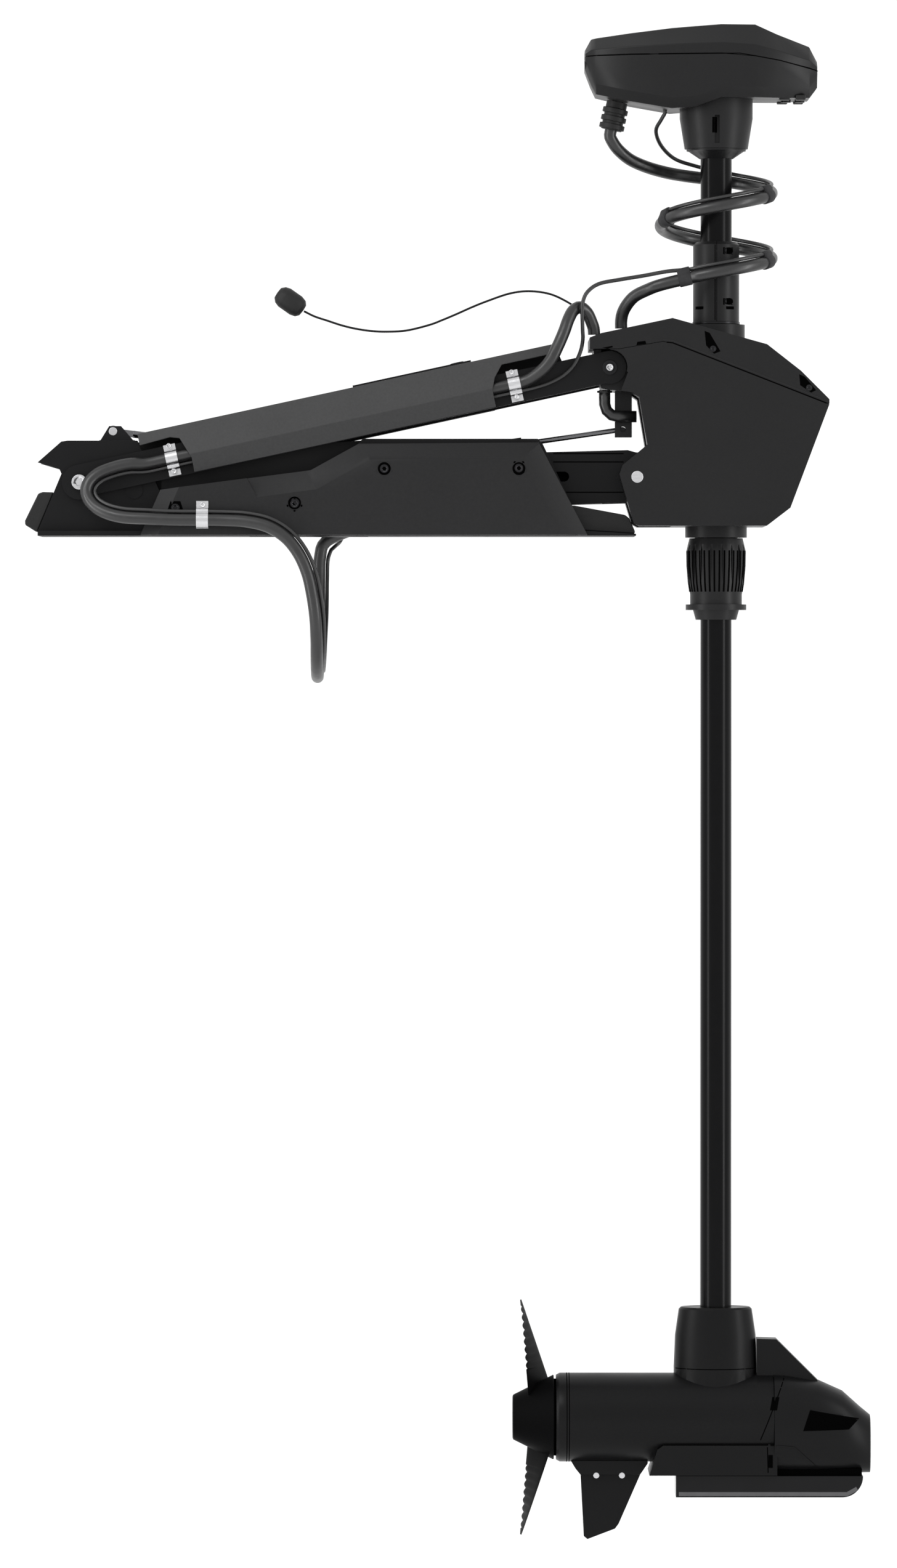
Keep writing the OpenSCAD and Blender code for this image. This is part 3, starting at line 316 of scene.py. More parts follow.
# ---------------------------------------------------------------- materials


class Nodes:
    """A short way to write a material's node tree."""

    def __init__(self, name):
        self.material = bpy.data.materials.new(name)
        self.material.use_nodes = True
        self.tree = self.material.node_tree
        self.shader = self.tree.nodes["Principled BSDF"]
        self.place = self.add("ShaderNodeTexCoord").outputs["Object"]

    def add(self, kind):
        """A new node of this kind."""
        return self.tree.nodes.new(kind)

    def link(self, a, b):
        """Joins an output to an input."""
        self.tree.links.new(a, b)

    def stretched(self, scale):
        """Object coordinates scaled by a different number along each axis."""
        node = self.add("ShaderNodeMapping")
        node.inputs["Scale"].default_value = scale
        self.link(self.place, node.inputs["Vector"])
        return node.outputs["Vector"]

    def noise(self, size, detail=3, rough=0.5, stretch=None):
        """Noise with features of about this size in millimetres."""
        node = self.add("ShaderNodeTexNoise")
        node.inputs["Scale"].default_value = 1000 / size
        node.inputs["Detail"].default_value = detail
        node.inputs["Roughness"].default_value = rough
        self.link(self.stretched(stretch) if stretch else self.place, node.inputs["Vector"])
        return node.outputs["Fac"]

    def spread(self, value, low, high, start=0.3, end=0.7):
        """The value between start and end, turned into low to high."""
        node = self.add("ShaderNodeMapRange")
        node.inputs["From Min"].default_value = start
        node.inputs["From Max"].default_value = end
        node.inputs["To Min"].default_value = low
        node.inputs["To Max"].default_value = high
        self.link(value, node.inputs["Value"])
        return node.outputs["Result"]

    def mixed(self, value, low, high):
        """A colour between low and high."""
        node = self.add("ShaderNodeMix")
        node.data_type = "RGBA"
        node.inputs["A"].default_value = (*low, 1)
        node.inputs["B"].default_value = (*high, 1)
        self.link(value, node.inputs["Factor"])
        return node.outputs["Result"]

    def bump(self, height, depth, before=None):
        """A bump of this depth in millimetres."""
        node = self.add("ShaderNodeBump")
        node.inputs["Distance"].default_value = mm(depth)
        node.inputs["Strength"].default_value = 1
        self.link(height, node.inputs["Height"])
        if before:
            self.link(before, node.inputs["Normal"])
        return node.outputs["Normal"]


def shades(colour, share):
    """A darker and a lighter version of a colour."""
    return [tuple(c * (1 - share) for c in colour), tuple(c * (1 + share) for c in colour)]


def moulded(
    name, colour, rough, grain, depth, patch=60, coat=0.0, metal=0.0, shine=0.25, vary=0.22
):
    """Moulded or coated surface: a fine grain, cloudy roughness and slightly uneven colour.

    grain and patch are the sizes of the grain and of the clouds and depth is the grain's depth,
    in millimetres. vary is the share by which the colour goes up and down.
    """
    n = Nodes(name)
    clouds = n.noise(patch, detail=4)
    specks = n.noise(grain * 3, detail=2)
    n.link(n.mixed(specks, *shades(colour, vary)), n.shader.inputs["Base Color"])
    n.link(n.spread(clouds, rough - 0.05, rough + 0.06), n.shader.inputs["Roughness"])
    if depth:
        n.link(n.bump(n.noise(grain, detail=2), depth), n.shader.inputs["Normal"])
    n.shader.inputs["Specular IOR Level"].default_value = shine
    n.shader.inputs["Metallic"].default_value = metal
    n.shader.inputs["Coat Weight"].default_value = coat
    n.shader.inputs["Coat Roughness"].default_value = 0.12
    return n.material


def brushed(name, colour, rough, along=(1, 0, 0)):
    """Metal brushed or drawn along one axis."""
    n = Nodes(name)
    stretch = tuple(0.04 if a else 1.0 for a in along)
    lines = n.noise(0.5, stretch=stretch)
    n.link(n.mixed(lines, *shades(colour, 0.12)), n.shader.inputs["Base Color"])
    n.link(n.spread(lines, rough - 0.06, rough + 0.1), n.shader.inputs["Roughness"])
    n.link(n.bump(lines, 0.006), n.shader.inputs["Normal"])
    n.shader.inputs["Metallic"].default_value = 1.0
    return n.material


def jacket(name, colour, rough):
    """A cable jacket: smooth, with faint waves along it and a few scuffs."""
    n = Nodes(name)
    scuffs = n.noise(9, detail=6, rough=0.65)
    n.link(n.mixed(scuffs, *shades(colour, 0.25)), n.shader.inputs["Base Color"])
    n.link(n.spread(scuffs, rough - 0.05, rough + 0.12, 0.35, 0.75), n.shader.inputs["Roughness"])
    waves = n.bump(n.noise(40, detail=1), 0.05)
    n.link(n.bump(n.noise(0.8, detail=2), 0.012, waves), n.shader.inputs["Normal"])
    return n.material


def braid(name, colour):
    """A thin braided cord: crossed diagonal strands."""
    n = Nodes(name)
    normal = None
    for turn in (0.7, -0.7):
        node = n.add("ShaderNodeMapping")
        node.inputs["Rotation"].default_value = (0, turn, turn)
        wave = n.add("ShaderNodeTexWave")
        wave.inputs["Scale"].default_value = 420
        wave.inputs["Distortion"].default_value = 0.6
        n.link(n.place, node.inputs["Vector"])
        n.link(node.outputs["Vector"], wave.inputs["Vector"])
        normal = n.bump(wave.outputs["Fac"], 0.12, normal)
    n.link(n.mixed(n.noise(0.6), *shades(colour, 0.3)), n.shader.inputs["Base Color"])
    n.link(normal, n.shader.inputs["Normal"])
    n.shader.inputs["Roughness"].default_value = 0.6
    n.shader.inputs["Specular IOR Level"].default_value = 0.15
    return n.material


HOUSING = moulded(
    "housing_plastic", (0.0056, 0.0056, 0.0059), 0.4, grain=0.6, depth=0.03, shine=0.18
)
COVER = moulded(
    "cover_plastic", (0.0078, 0.0078, 0.0082), 0.46, grain=0.8, depth=0.06, shine=0.18
)
ARM_COVER = moulded("arm_cover_plastic", (0.021, 0.0211, 0.0216), 0.46, grain=0.8, depth=0.06)
EXTRUSION = moulded(
    "black_anodised", (0.004, 0.004, 0.0043), 0.4, grain=0.5, depth=0.02, shine=0.12
)
LOWER_UNIT = moulded(
    "motor_coating", (0.0034, 0.0034, 0.0036), 0.36, grain=0.7, depth=0.03, patch=90, shine=0.1
)
SHAFT = moulded(
    "shaft_composite", (0.002, 0.002, 0.0022), 0.2, grain=3, depth=0.01, patch=120, shine=0.08
)
BLADE = moulded("blade_nylon", (0.0016, 0.0016, 0.0017), 0.5, grain=0.8, depth=0.03, shine=0.02)
RUBBER = moulded("rubber", (0.0055, 0.0055, 0.0055), 0.55, grain=1.0, depth=0.05)
GLOSS = moulded(
    "gloss_black", (0.003, 0.003, 0.0033), 0.14, grain=6, depth=0.004, coat=0.08, shine=0.1
)
# A lighter grey for the strip along the transducer's lower edge: a painted highlight.
RIM_HIGHLIGHT = moulded("painted_rim_highlight", (0.05, 0.05, 0.052), 0.2, grain=4, depth=0.004, coat=0.3)
SCREW = moulded("black_oxide", (0.012, 0.012, 0.013), 0.26, grain=0.3, depth=0.01, metal=0.6)
# Black for seams, and painted shade where it fills recesses and gaps between parts.
GAP = moulded("shadow_gap", (0.001, 0.001, 0.001), 0.9, grain=0.6, depth=0.05, shine=0.0)
STEEL = brushed("stainless", (0.50, 0.50, 0.51), 0.26)
DARK_STEEL = brushed("black_steel", (0.020, 0.020, 0.021), 0.32)
ROD = brushed("strut_rod", (0.13, 0.13, 0.135), 0.2)
BRONZE = brushed("bronze", (0.50, 0.33, 0.14), 0.3, along=(0, 0, 1))
COPPER = brushed("copper_wire", (0.50, 0.22, 0.09), 0.32)
ACETAL = moulded("acetal", (0.62, 0.59, 0.50), 0.4, grain=2, depth=0.01)
BOARD = moulded("circuit_board", (0.015, 0.13, 0.055), 0.35, grain=0.6, depth=0.02, coat=0.4)
CABLE = jacket("cable_jacket", (0.0065, 0.0065, 0.0068), 0.34)
THIN_CABLE = jacket("thin_jacket", (0.0065, 0.0065, 0.0068), 0.36)
CORD = braid("braided_cord", (0.006, 0.006, 0.0063))
PLUG = moulded("plug_plastic", (0.010, 0.010, 0.0105), 0.4, grain=0.7, depth=0.03)
STRAP = moulded("hook_and_loop", (0.016, 0.016, 0.017), 0.75, grain=0.9, depth=0.12)


# ---------------------------------------------------------------- free cords


def beside(line, reference=None):
    """The thin cable's line: on the side of the reference, or on the inner side of the bends."""
    moved = []
    for i, p in enumerate(line):
        along = (line[min(i + 1, len(line) - 1)] - line[max(i - 1, 0)]).normalized()
        if reference:
            side = (reference - along * reference.dot(along)).normalized()
        else:
            side = along.cross(Vector((0, -1, 0))).normalized()
        moved.append(p + side * THIN_STEP)
    return moved


LEAD_ROUTE = [
    (CLIP_FRONT_X, LEAD_Y, LEAD_Z), (-84, LEAD_Y - 0.5, 15.2), (-62, -87, 14), (-40, -89, 9),
    (-22, -90, -2), (-9, -90, -18), (0, -90, -38), (5, -89, -60), (8, -85, -82), (9, -75, -104),
    (9, -58, -124), (9, -35, -137), (9, -8, -142), (9, 20, -139), (9, 46, -129), (9, 68, -112),
    (9, 84, -91), (9, 93, -67), (9, 97, -42), (10, 97, -20), (16, 96, -4),
]


def hank_line():
    """One and a half turns of a long loop side by side, then the way across into the plug."""
    low, high = box_mm("lead_hank")
    r = (high.z - low.z - CABLE_D) / 2
    x0, x1 = low.x + r + CABLE_D / 2, high.x - r - CABLE_D / 2
    z0 = (low.z + high.z) / 2
    run, bend = x1 - x0, math.pi * r
    turn = 2 * (run + bend)
    total = turn + run + bend
    start = run * 0.1
    count = 90
    line = []
    for i in range(count + 1):
        s = start + (total - start) * i / count
        lift = min(1, max(0, (s - 2 * run - bend) / bend))
        y = low.y + CABLE_D * (0.5 + lift * lift * (3 - 2 * lift))
        s %= turn
        if s < run:
            line.append(Vector((x0 + s, y, z0 - r)))
        elif s < run + bend:
            a = (s - run) / r
            line.append(Vector((x1 + r * math.sin(a), y, z0 - r * math.cos(a))))
        elif s < 2 * run + bend:
            line.append(Vector((x1 - (s - run - bend), y, z0 + r)))
        else:
            a = (s - 2 * run - bend) / r
            line.append(Vector((x0 - r * math.sin(a), y, z0 + r * math.cos(a))))
    boss = Vector((PLUG_BOSS_X, PLUG_Y, z0))
    ahead = Vector((1, 0, 0))
    return line + [
        Vector((x1 - 14, line[-1].y + 1.5, z0 + r - 0.5)),
        Vector((x1 - 36, boss.y - 5, z0 + r - 6)),
        Vector((x1 - 60, boss.y - 1, z0 + 20)), boss + ahead * 24 + Vector((0, 0, 4)),
        boss + ahead * 8, boss - ahead * 4,
    ]


def make_lead():
    """The power lead from the base clip to its plug, as one line."""
    line = smooth_line([Vector(p) for p in LEAD_ROUTE] + hank_line(), step=4)
    lead = place(tube("power_lead_cord", line, CABLE_D / 2, 24), CABLE, "base",
                 ["power_lead", "lead_hank"])


THIN_TAIL = [
    (26, 105, -8), (30, 115, -4), (35, 120.5, 5), (42, 121, 12), (49, 121, 15.5), (57, 121, 16)
]


def make_thin_lead():
    """The sensor cable beside the power lead, from the base clip to its connector."""
    line = smooth_line([Vector(p) for p in LEAD_ROUTE])
    line = beside(line, Vector((1, 0, 1)))[:-2] + [Vector(p) for p in THIN_TAIL]
    line = line[:-6] + smooth_line(line[-7:])[3:]
    lead = place(tube("sensor_lead_cord", line, THIN_D / 2, 12), THIN_CABLE, "base",
                 ["power_lead"])


PULL_ROUTE = [
    (-4.8, 0, 227.8), (6, 0, 222.5), (19, 0, 218.2), (33, 0, 213.6), (47, 0, 210.2),
    (63, 0, 207.8), (79, 0, 207.1), (99, 0, 208.3), (122, 0, 213.9), (136, 0, 219.2),
    (150, 0, 225.1), (165, 0, 231.8), (180, 0, 237.8), (203, 0, 245.6), (223, -0.5, 248),
    (244, -1, 245.1), (262, -2, 236.8), (274, -3, 228), (283, -4, 217.6), (291, -5, 203.8),
]


def make_pull_cord():
    """The stiff cord from the lid to the pull handle. It curves between the two."""
    line = smooth_line([Vector(p) for p in PULL_ROUTE][::-1])
    cord = paint(tube("pull_cord_line", line, PULL_CORD_D / 2, 10), CORD)
    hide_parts("pull_cord")
    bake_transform(cord)


make_lead()
make_thin_lead()
make_pull_cord()


# ---------------------------------------------------------------- cables held by the object


def points_of(*triples):
    """Vectors from (x, y, z) triples."""
    return [Vector(p) for p in triples]


def coil_points(first, last):
    """The coil round the shaft. Angles are measured from +Y and fall as the coil rises."""
    step = 7.5
    count = round((first - last) / step)
    angles = [first - step * i for i in range(count + 1)]
    return [
        Vector(
            (
                SHAFT_X + COIL_R * math.sin(math.radians(a)),
                COIL_R * math.cos(math.radians(a)),
                SPLIT_Z - a / 360 * COIL_PITCH,
            )
        )
        for a in angles
    ]


def arm_point(u, v, y):
    """A point beside the arm, at u along it and v across it."""
    c, s = math.cos(ARM_SLOPE), math.sin(ARM_SLOPE)
    return Vector((PIVOT_P.x + u * c - v * s, y, PIVOT_P.z + u * s + v * c))


# The coil is made in two stretches, below and above SPLIT_Z. Point SPLIT of the coil is where the
# two stretches meet.
COIL = coil_points(210, -337.5)
SPLIT = 28
THIN_COIL = beside(COIL, UP)

LOWER_COIL_LINE = smooth_line(
    points_of(
        (315.5, -26, 209.4), (315.5, -26.5, 217), (317, -28, 225), (321.5, -31, 233.5),
        (329, -35.5, 241.5), (341, -40.5, 247.5), (355, -46.5, 252.5),
    )
    + COIL[: SPLIT + 1]
)
UPPER_COIL_LINE = smooth_line(
    COIL[SPLIT:]
    + points_of(
        (412, 54, 363.5), (382, 47, 367), (362, 37, 370), (342, 25, 375), (325, 14, 382),
        (312.5, 5, 392), (306, 1, 401.5), (304.7, 0, 406), (306, 0, 412),
    )
)
THIN_LOWER_LINE = smooth_line(
    points_of(
        (276.2, -54.6, 206), (276, -56, 213), (275.8, -57, 224), (276.5, -57, 235),
        (281, -55, 245), (292.6, -52, 253.3), (314, -49.5, 257.7), (337, -48.5, 261.5),
        (362, -49, 266),
    )
    + THIN_COIL[: SPLIT + 1]
)
THIN_UPPER_LINE = smooth_line(
    THIN_COIL[SPLIT:]
    + points_of(
        (412, 55, 373), (392, 51.5, 377.5), (371, 44, 384.4), (357, 30, 397), (351.5, 15, 411),
        (356.5, 5, 421.5), (360.4, 0.6, 428.5), (359.7, 0, 432.5), (358.7, 0, 437),
    )
)

TURN_LINE = smooth_line(
    points_of(
        (CLIP_FRONT_X, LEAD_Y, LEAD_Z), (CLIP_FRONT_X - 16, LEAD_Y, LEAD_Z),
        (-140, LEAD_Y, 15.8), (-162, LEAD_Y + 0.5, 17), (-185, -82, 18.4), (-203, -78, 23),
        (-216, -73, 31), (-222, -69, 42), (-220, -66, 53), (-211, -63, 62), (-197, -60, 68),
        (-180, -57.5, 72),
    )
    + [arm_point(u, ARM_CABLE_V, ARM_CABLE_Y) for u in range(70, ARM_CLIP_END + 1, 25)]
)
LOOP_LINE = smooth_line(
    [arm_point(u, ARM_CABLE_V, ARM_CABLE_Y) for u in (ARM_CLIP_END, 457)]
    + [arm_point(466, ARM_CABLE_V + 2, ARM_CABLE_Y - 2.5)]
    + points_of(
        (236, -62, 167), (244.5, -65, 177), (251.5, -65.5, 191), (257.5, -63, 205),
        (262, -58, 217.5), (267, -52, 226.5), (274, -46, 230), (281, -41.5, 224.5),
        (285.5, -39.5, 215), (287.5, -38.5, 209), (288, -38.5, 202.9),
    )
)
THIN_LOOP_LINE = smooth_line(
    [arm_point(u, ARM_CABLE_V - THIN_STEP, ARM_CABLE_Y) for u in (ARM_CLIP_END, 457)]
    + [arm_point(470, ARM_CABLE_V - THIN_STEP + 0.5, -52.4)]
    + points_of(
        (244.5, -50.9, 154.4), (258, -50.9, 162), (267.7, -52, 172), (274, -53, 185),
        (276.4, -54, 197), (276.2, -54.6, 206),
    )
)


# Each span holds the pair of bodies a cable runs between, and where its bend starts and ends.
LOWER_COIL = (("steering_housing", "steering_sleeve"), (0, 0, 217), (0, 0, SPLIT_Z))
UPPER_COIL = (("steering_sleeve", "shaft_and_motor"), (0, 0, SPLIT_Z), (0, 0, 396))
THIN_LOWER = (LOWER_COIL[0], (0, 0, 217 + THIN_STEP), (0, 0, SPLIT_Z + THIN_STEP))
THIN_UPPER = (UPPER_COIL[0], (0, 0, SPLIT_Z + THIN_STEP), (0, 0, 396 + THIN_STEP))
ARM_TURN = (("base", "upper_arm"), (0, -84, 18), (0, -60, 66))
THIN_TURN = (ARM_TURN[0], (0, -84, 26.5), (0, -60, 58))
HOUSING_LOOP = (("upper_arm", "steering_housing"), (232, -50, 165), (288, -38.5, 205))
THIN_LOOP = (HOUSING_LOOP[0], (238, -52, 152), (276, -54, 203))


def blended(obj, material, slot, bodies, start, end, replaces=()):
    """Paints a piece, hides the parts it stands for and fixes it where it lies."""
    paint(obj, material)
    if replaces:
        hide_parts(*replaces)
    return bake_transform(obj)


def make_cables():
    """The thick and the thin cable in their four stretches, each over one joint."""
    for node, line, span, thin_line, thin_span in [
        ("coil_cable_lower", LOWER_COIL_LINE, LOWER_COIL, THIN_LOWER_LINE, THIN_LOWER),
        ("coil_cable_upper", UPPER_COIL_LINE, UPPER_COIL, THIN_UPPER_LINE, THIN_UPPER),
        ("arm_turn_cable", TURN_LINE, ARM_TURN, beside(TURN_LINE), THIN_TURN),
        ("housing_loop_cable", LOOP_LINE, HOUSING_LOOP, THIN_LOOP_LINE, THIN_LOOP),
    ]:
        thick = tube(node + "_jacket", line, CABLE_D / 2, 24)
        blended(thick, CABLE, "cable_jacket", *span, replaces=[node])
        thin = tube(node + "_sensor", thin_line, THIN_D / 2, 12)
        blended(thin, THIN_CABLE, "cable_jacket", *thin_span, replaces=[node])


def strap(name, line, near, span):
    """A hook-and-loop strap round both cables where the line passes nearest to a place."""
    cloth = 1.1
    middle = min(range(len(line)), key=lambda i: (line[i] - Vector(near)).length)
    along = (line[middle + 1] - line[middle - 1]).normalized()
    up = (UP - along * UP.dot(along)).normalized()
    side = along.cross(up)
    rings = []
    for offset, inset in [(-6.5, 0.5), (-6, 0), (0, 0), (6, 0), (6.5, 0.5)]:
        ring = []
        for j in range(36):
            a = 2 * math.pi * j / 36
            low = CABLE_D / 2 + cloth - inset
            high = THIN_STEP * max(0, math.sin(a)) ** 3 + (THIN_D / 2 + cloth - inset)
            ring.append(
                line[middle] + along * offset
                + (side * math.cos(a) + up * math.sin(a)) * max(low, high)
            )
        rings.append(ring)
    return blended(loft(name, rings, sharp=50), STRAP, "cable_jacket", *span)


make_cables()
strap("strap_top_right", UPPER_COIL_LINE, (461, -26, 345), UPPER_COIL)
strap("strap_top_left", UPPER_COIL_LINE, (361, -24, 324), UPPER_COIL)
strap("strap_low_right", LOWER_COIL_LINE, (461, -26, 279), LOWER_COIL)
strap("strap_low_left", LOWER_COIL_LINE, (380, -48, 259), LOWER_COIL)


# ---------------------------------------------------------------- looks of the CAD nodes


def dress(node, material, edge):
    """A CAD node with its material and, where it shows, rounded edges."""
    obj = NODES[node]
    obj.data.materials.clear()
    obj.data.materials.append(material)
    if "custom_normal" in obj.data.attributes:
        obj.data.attributes.remove(obj.data.attributes["custom_normal"])
    obj.data.shade_smooth()
    weld = obj.modifiers.new("weld", "WELD")
    weld.merge_threshold = mm(0.01)
    flat = obj.modifiers.new("flat", "DECIMATE")
    flat.decimate_type = "DISSOLVE"
    flat.angle_limit = math.radians(0.4)
    if edge:
        add_bevel(obj, edge, 2)
    else:
        obj.data.set_sharp_from_angle(angle=math.radians(35))


# Each CAD node that shows or sits inside, with its material and the rounding of its edges in mm.
DRESSED = {
    "base_frame": (EXTRUSION, 0.5), "left_base_cover": (COVER, 1.8),
    "right_base_cover": (COVER, 1.8), "base_cover_screws": (SCREW, 0.4),
    "motor_rest": (RUBBER, 1.2), "rear_bumper": (RUBBER, 1.5), "strut_bracket": (DARK_STEEL, 0.3),
    "bracket_pin": (STEEL, 0.4), "arm_pivot_bolts": (SCREW, 0.6),
    "base_cable_clip": (STEEL, 0.15), "upper_arm_frame": (EXTRUSION, 0.6),
    "upper_arm_cover": (ARM_COVER, 0.8), "indicator_panel": (GLOSS, 0.6),
    "power_button": (GLOSS, 0.5), "arm_cable_clips": (STEEL, 0.15),
    "front_pivot_bolts": (SCREW, 0.5), "lower_arm": (EXTRUSION, 0.4), "latch_hook": (STEEL, 0.5),
    "front_strut_cylinder": (DARK_STEEL, 0.5), "front_strut_rod": (ROD, 0.3),
    "rear_strut_cylinder": (DARK_STEEL, 0.5), "rear_strut_rod": (ROD, 0.3),
    "steering_housing": (HOUSING, 2.5), "housing_cover": (HOUSING, 2.5),
    "housing_screws": (SCREW, 0.4), "steering_gearmotor": (DARK_STEEL, 0.5),
    "sleeve_bearings": (ACETAL, 0.3), "cable_elbow": (CABLE, 0), "lower_arm_pin": (STEEL, 0.5),
    "worm": (DARK_STEEL, 0.2), "stabiliser_collar": (HOUSING, 0.5),
    "drive_sleeve": (DARK_STEEL, 0.3), "worm_wheel": (BRONZE, 0.2),
    "depth_collar": (HOUSING, 0.6), "collar_screws": (SCREW, 0.3), "shaft_tube": (SHAFT, 0.5),
    "head_base": (HOUSING, 1.0), "head_cover": (HOUSING, 1.5), "head_board": (BOARD, 0.2),
    "cable_gland": (RUBBER, 0.6), "strut_cap": (LOWER_UNIT, 0.8), "motor_tube": (LOWER_UNIT, 0.4),
    "stator": (COPPER, 0), "tail_bell": (LOWER_UNIT, 0.4), "nose_cone": (LOWER_UNIT, 0.6),
    "transducer": (GLOSS, 3.0), "skeg": (LOWER_UNIT, 0.6), "skeg_screws": (STEEL, 0.4),
    "rotor": (STEEL, 0.3), "propeller": (BLADE, 0.4), "prop_nut": (STEEL, 0.3),
    "lead_plug": (PLUG, 1.5), "pull_handle": (RUBBER, 0.6),
}

for node, look in DRESSED.items():
    dress(node, *look)


# ---------------------------------------------------------------- details laid on the surfaces

# Seams and recesses are dark inlays that stand this far proud and reach this far in. The inlays
# over recesses are painted shade.
INLAY_LIFT, INLAY_DEPTH = 0.12, 0.6
SKINS = {}


def surface_y(nodes, x, z, side):
    """Where a line along Y first meets one of the nodes from the given side, in millimetres."""
    found = None
    outside = 400
    for node in nodes.split():
        if node not in SKINS:
            data = NODES[node].data
            turn = NODES[node].matrix_world
            points = [(turn @ v.co) * 1000 for v in data.vertices]
            SKINS[node] = BVHTree.FromPolygons(points, [tuple(f.vertices) for f in data.polygons])
        hit = SKINS[node].ray_cast(Vector((x, side * outside, z)), Vector((0, -side, 0)))[0]
        if hit and (found is None or hit.y * side > found * side):
            found = hit.y
    return found


def flat_line(points):
    """Points about 2 mm apart along straight (x, z) lines."""
    step = 2.0
    line = []
    for (x0, z0), (x1, z1) in zip(points, points[1:]):
        count = max(1, round(math.hypot(x1 - x0, z1 - z0) / step))
        line += [(x0 + (x1 - x0) * i / count, z0 + (z1 - z0) * i / count) for i in range(count)]
    return line + [points[-1]]


def ribbon(node, points, width, side, lift=INLAY_LIFT):
    """A narrow strip that follows the node's surface along a line."""
    line = flat_line(points)
    rings = []
    last = [None, None]
    for i, (x, z) in enumerate(line):
        ahead, behind = line[min(i + 1, len(line) - 1)], line[max(i - 1, 0)]
        along = Vector((ahead[0] - behind[0], ahead[1] - behind[1])).normalized()
        across = Vector((-along.y, along.x)) * width / 2
        edges = [(x + across.x, z + across.y), (x - across.x, z - across.y)]
        heights = [surface_y(node, *e, side) for e in edges]
        heights = [h if h is not None else k for h, k in zip(heights, last)]
        if None in heights:
            continue
        last = heights
        (xa, za), (xb, zb) = edges
        ya, yb = heights
        rings.append(
            [
                Vector((xa, ya + side * lift, za)), Vector((xb, yb + side * lift, zb)),
                Vector((xb, yb - side * INLAY_DEPTH, zb)),
                Vector((xa, ya - side * INLAY_DEPTH, za)),
            ]
        )
    return loft("strip", rings, sharp=30)


def patch(node, outline, side, lift=INLAY_LIFT, rows=4):
    """A filled outline of (x, z) points that follows the node's surface."""
    edge = flat_line([*outline, outline[0]])[:-1]
    cx = sum(x for x, _ in edge) / len(edge)
    cz = sum(z for _, z in edge) / len(edge)
    heights = [surface_y(node, x, z, side) for x, z in edge]
    heights = [y for y in heights if y is not None]
    middle = sum(heights) / len(heights)
    rings = []
    for share in [1] + [1 - i / rows for i in range(rows)] + [0.02]:
        ring = []
        for x, z in edge:
            px, pz = cx + (x - cx) * share, cz + (z - cz) * share
            y = surface_y(node, px, pz, side)
            y = middle if y is None else y
            ring.append(Vector((px, y + side * (lift if rings else -INLAY_DEPTH), pz)))
        rings.append(ring)
    return loft("patch", rings, sharp=30)


def disc(x, z, radius, y0, y1, sides=24):
    """A short round bar along Y."""
    turn = [2 * math.pi * j / sides for j in range(sides)]
    outline = [(x + radius * math.cos(a), z + radius * math.sin(a)) for a in turn]
    return prism("disc", outline, min(y0, y1), max(y0, y1))


def screw_head(node, x, z, radius, side, lift=1.0, reach=1.2):
    """A screw head with a hexagonal socket, standing on the node's surface.

    The surface is felt for at several places, up to reach times the radius from the middle.
    """
    socket = radius * 0.5
    around = [(0, reach), (0, -reach), (reach, 0), (-reach, 0), (0, 0.6), (0, -0.6), (0, 0)]
    heights = [surface_y(node, x + radius * i, z + radius * k, side) for i, k in around]
    y = max((h for h in heights if h is not None), key=lambda h: h * side)
    head = bevelled(disc(x, z, radius, y - side * 0.3, y + side * lift), 0.3)
    hexagon = [
        (x + socket * math.cos(a), z + socket * math.sin(a))
        for a in [math.pi / 3 * j for j in range(6)]
    ]
    return cut(head, prism("socket", hexagon, *sorted((y + side * 0.2, y + side * 5))))


def group(name, pieces, material, body, replaces=()):
    """One painted piece from several shapes."""
    return place(joined(name, pieces), material, body, replaces)


def rectangle(x0, z0, x1, z1):
    """The outline of a rectangle."""
    return [(x0, z0), (x1, z0), (x1, z1), (x0, z1)]


def block(name, low, high, edge):
    """A box with rounded edges."""
    (x0, y0, z0), (x1, y1, z1) = low, high
    return bevelled(prism(name, rectangle(x0, z0, x1, z1), y0, y1), edge)


def make_head_details():
    """The seam of the lid, the slots in the neck as dark patches of painted shade, and the two
    feet on each side.
    """
    pieces = []
    for side in (STARBOARD, PORT):
        seam = [(281.5, 483), (346.5, 483.5), (434, 484.5), (475.5, 477.5), (513.5, 468.4)]
        pieces.append(ribbon("head_base head_cover", seam, 0.9, side))
        # The neck slot is a dark patch: painted shade.
        pieces.append(patch("head_base", rectangle(407, 406.5, 412, 422), side))
    group("head_gaps", pieces, GAP, "shaft_and_motor")
    half_width, bottom, top, foot_y = 7, 439, 444, 32
    feet = [
        block("foot", (x, y - half_width, bottom), (x + w, y + half_width, top), 1.0)
        for x, w in ((474.5, 10.5), (491, 10)) for y in (-foot_y, foot_y)
    ]
    group("head_feet", feet, RUBBER, "shaft_and_motor")


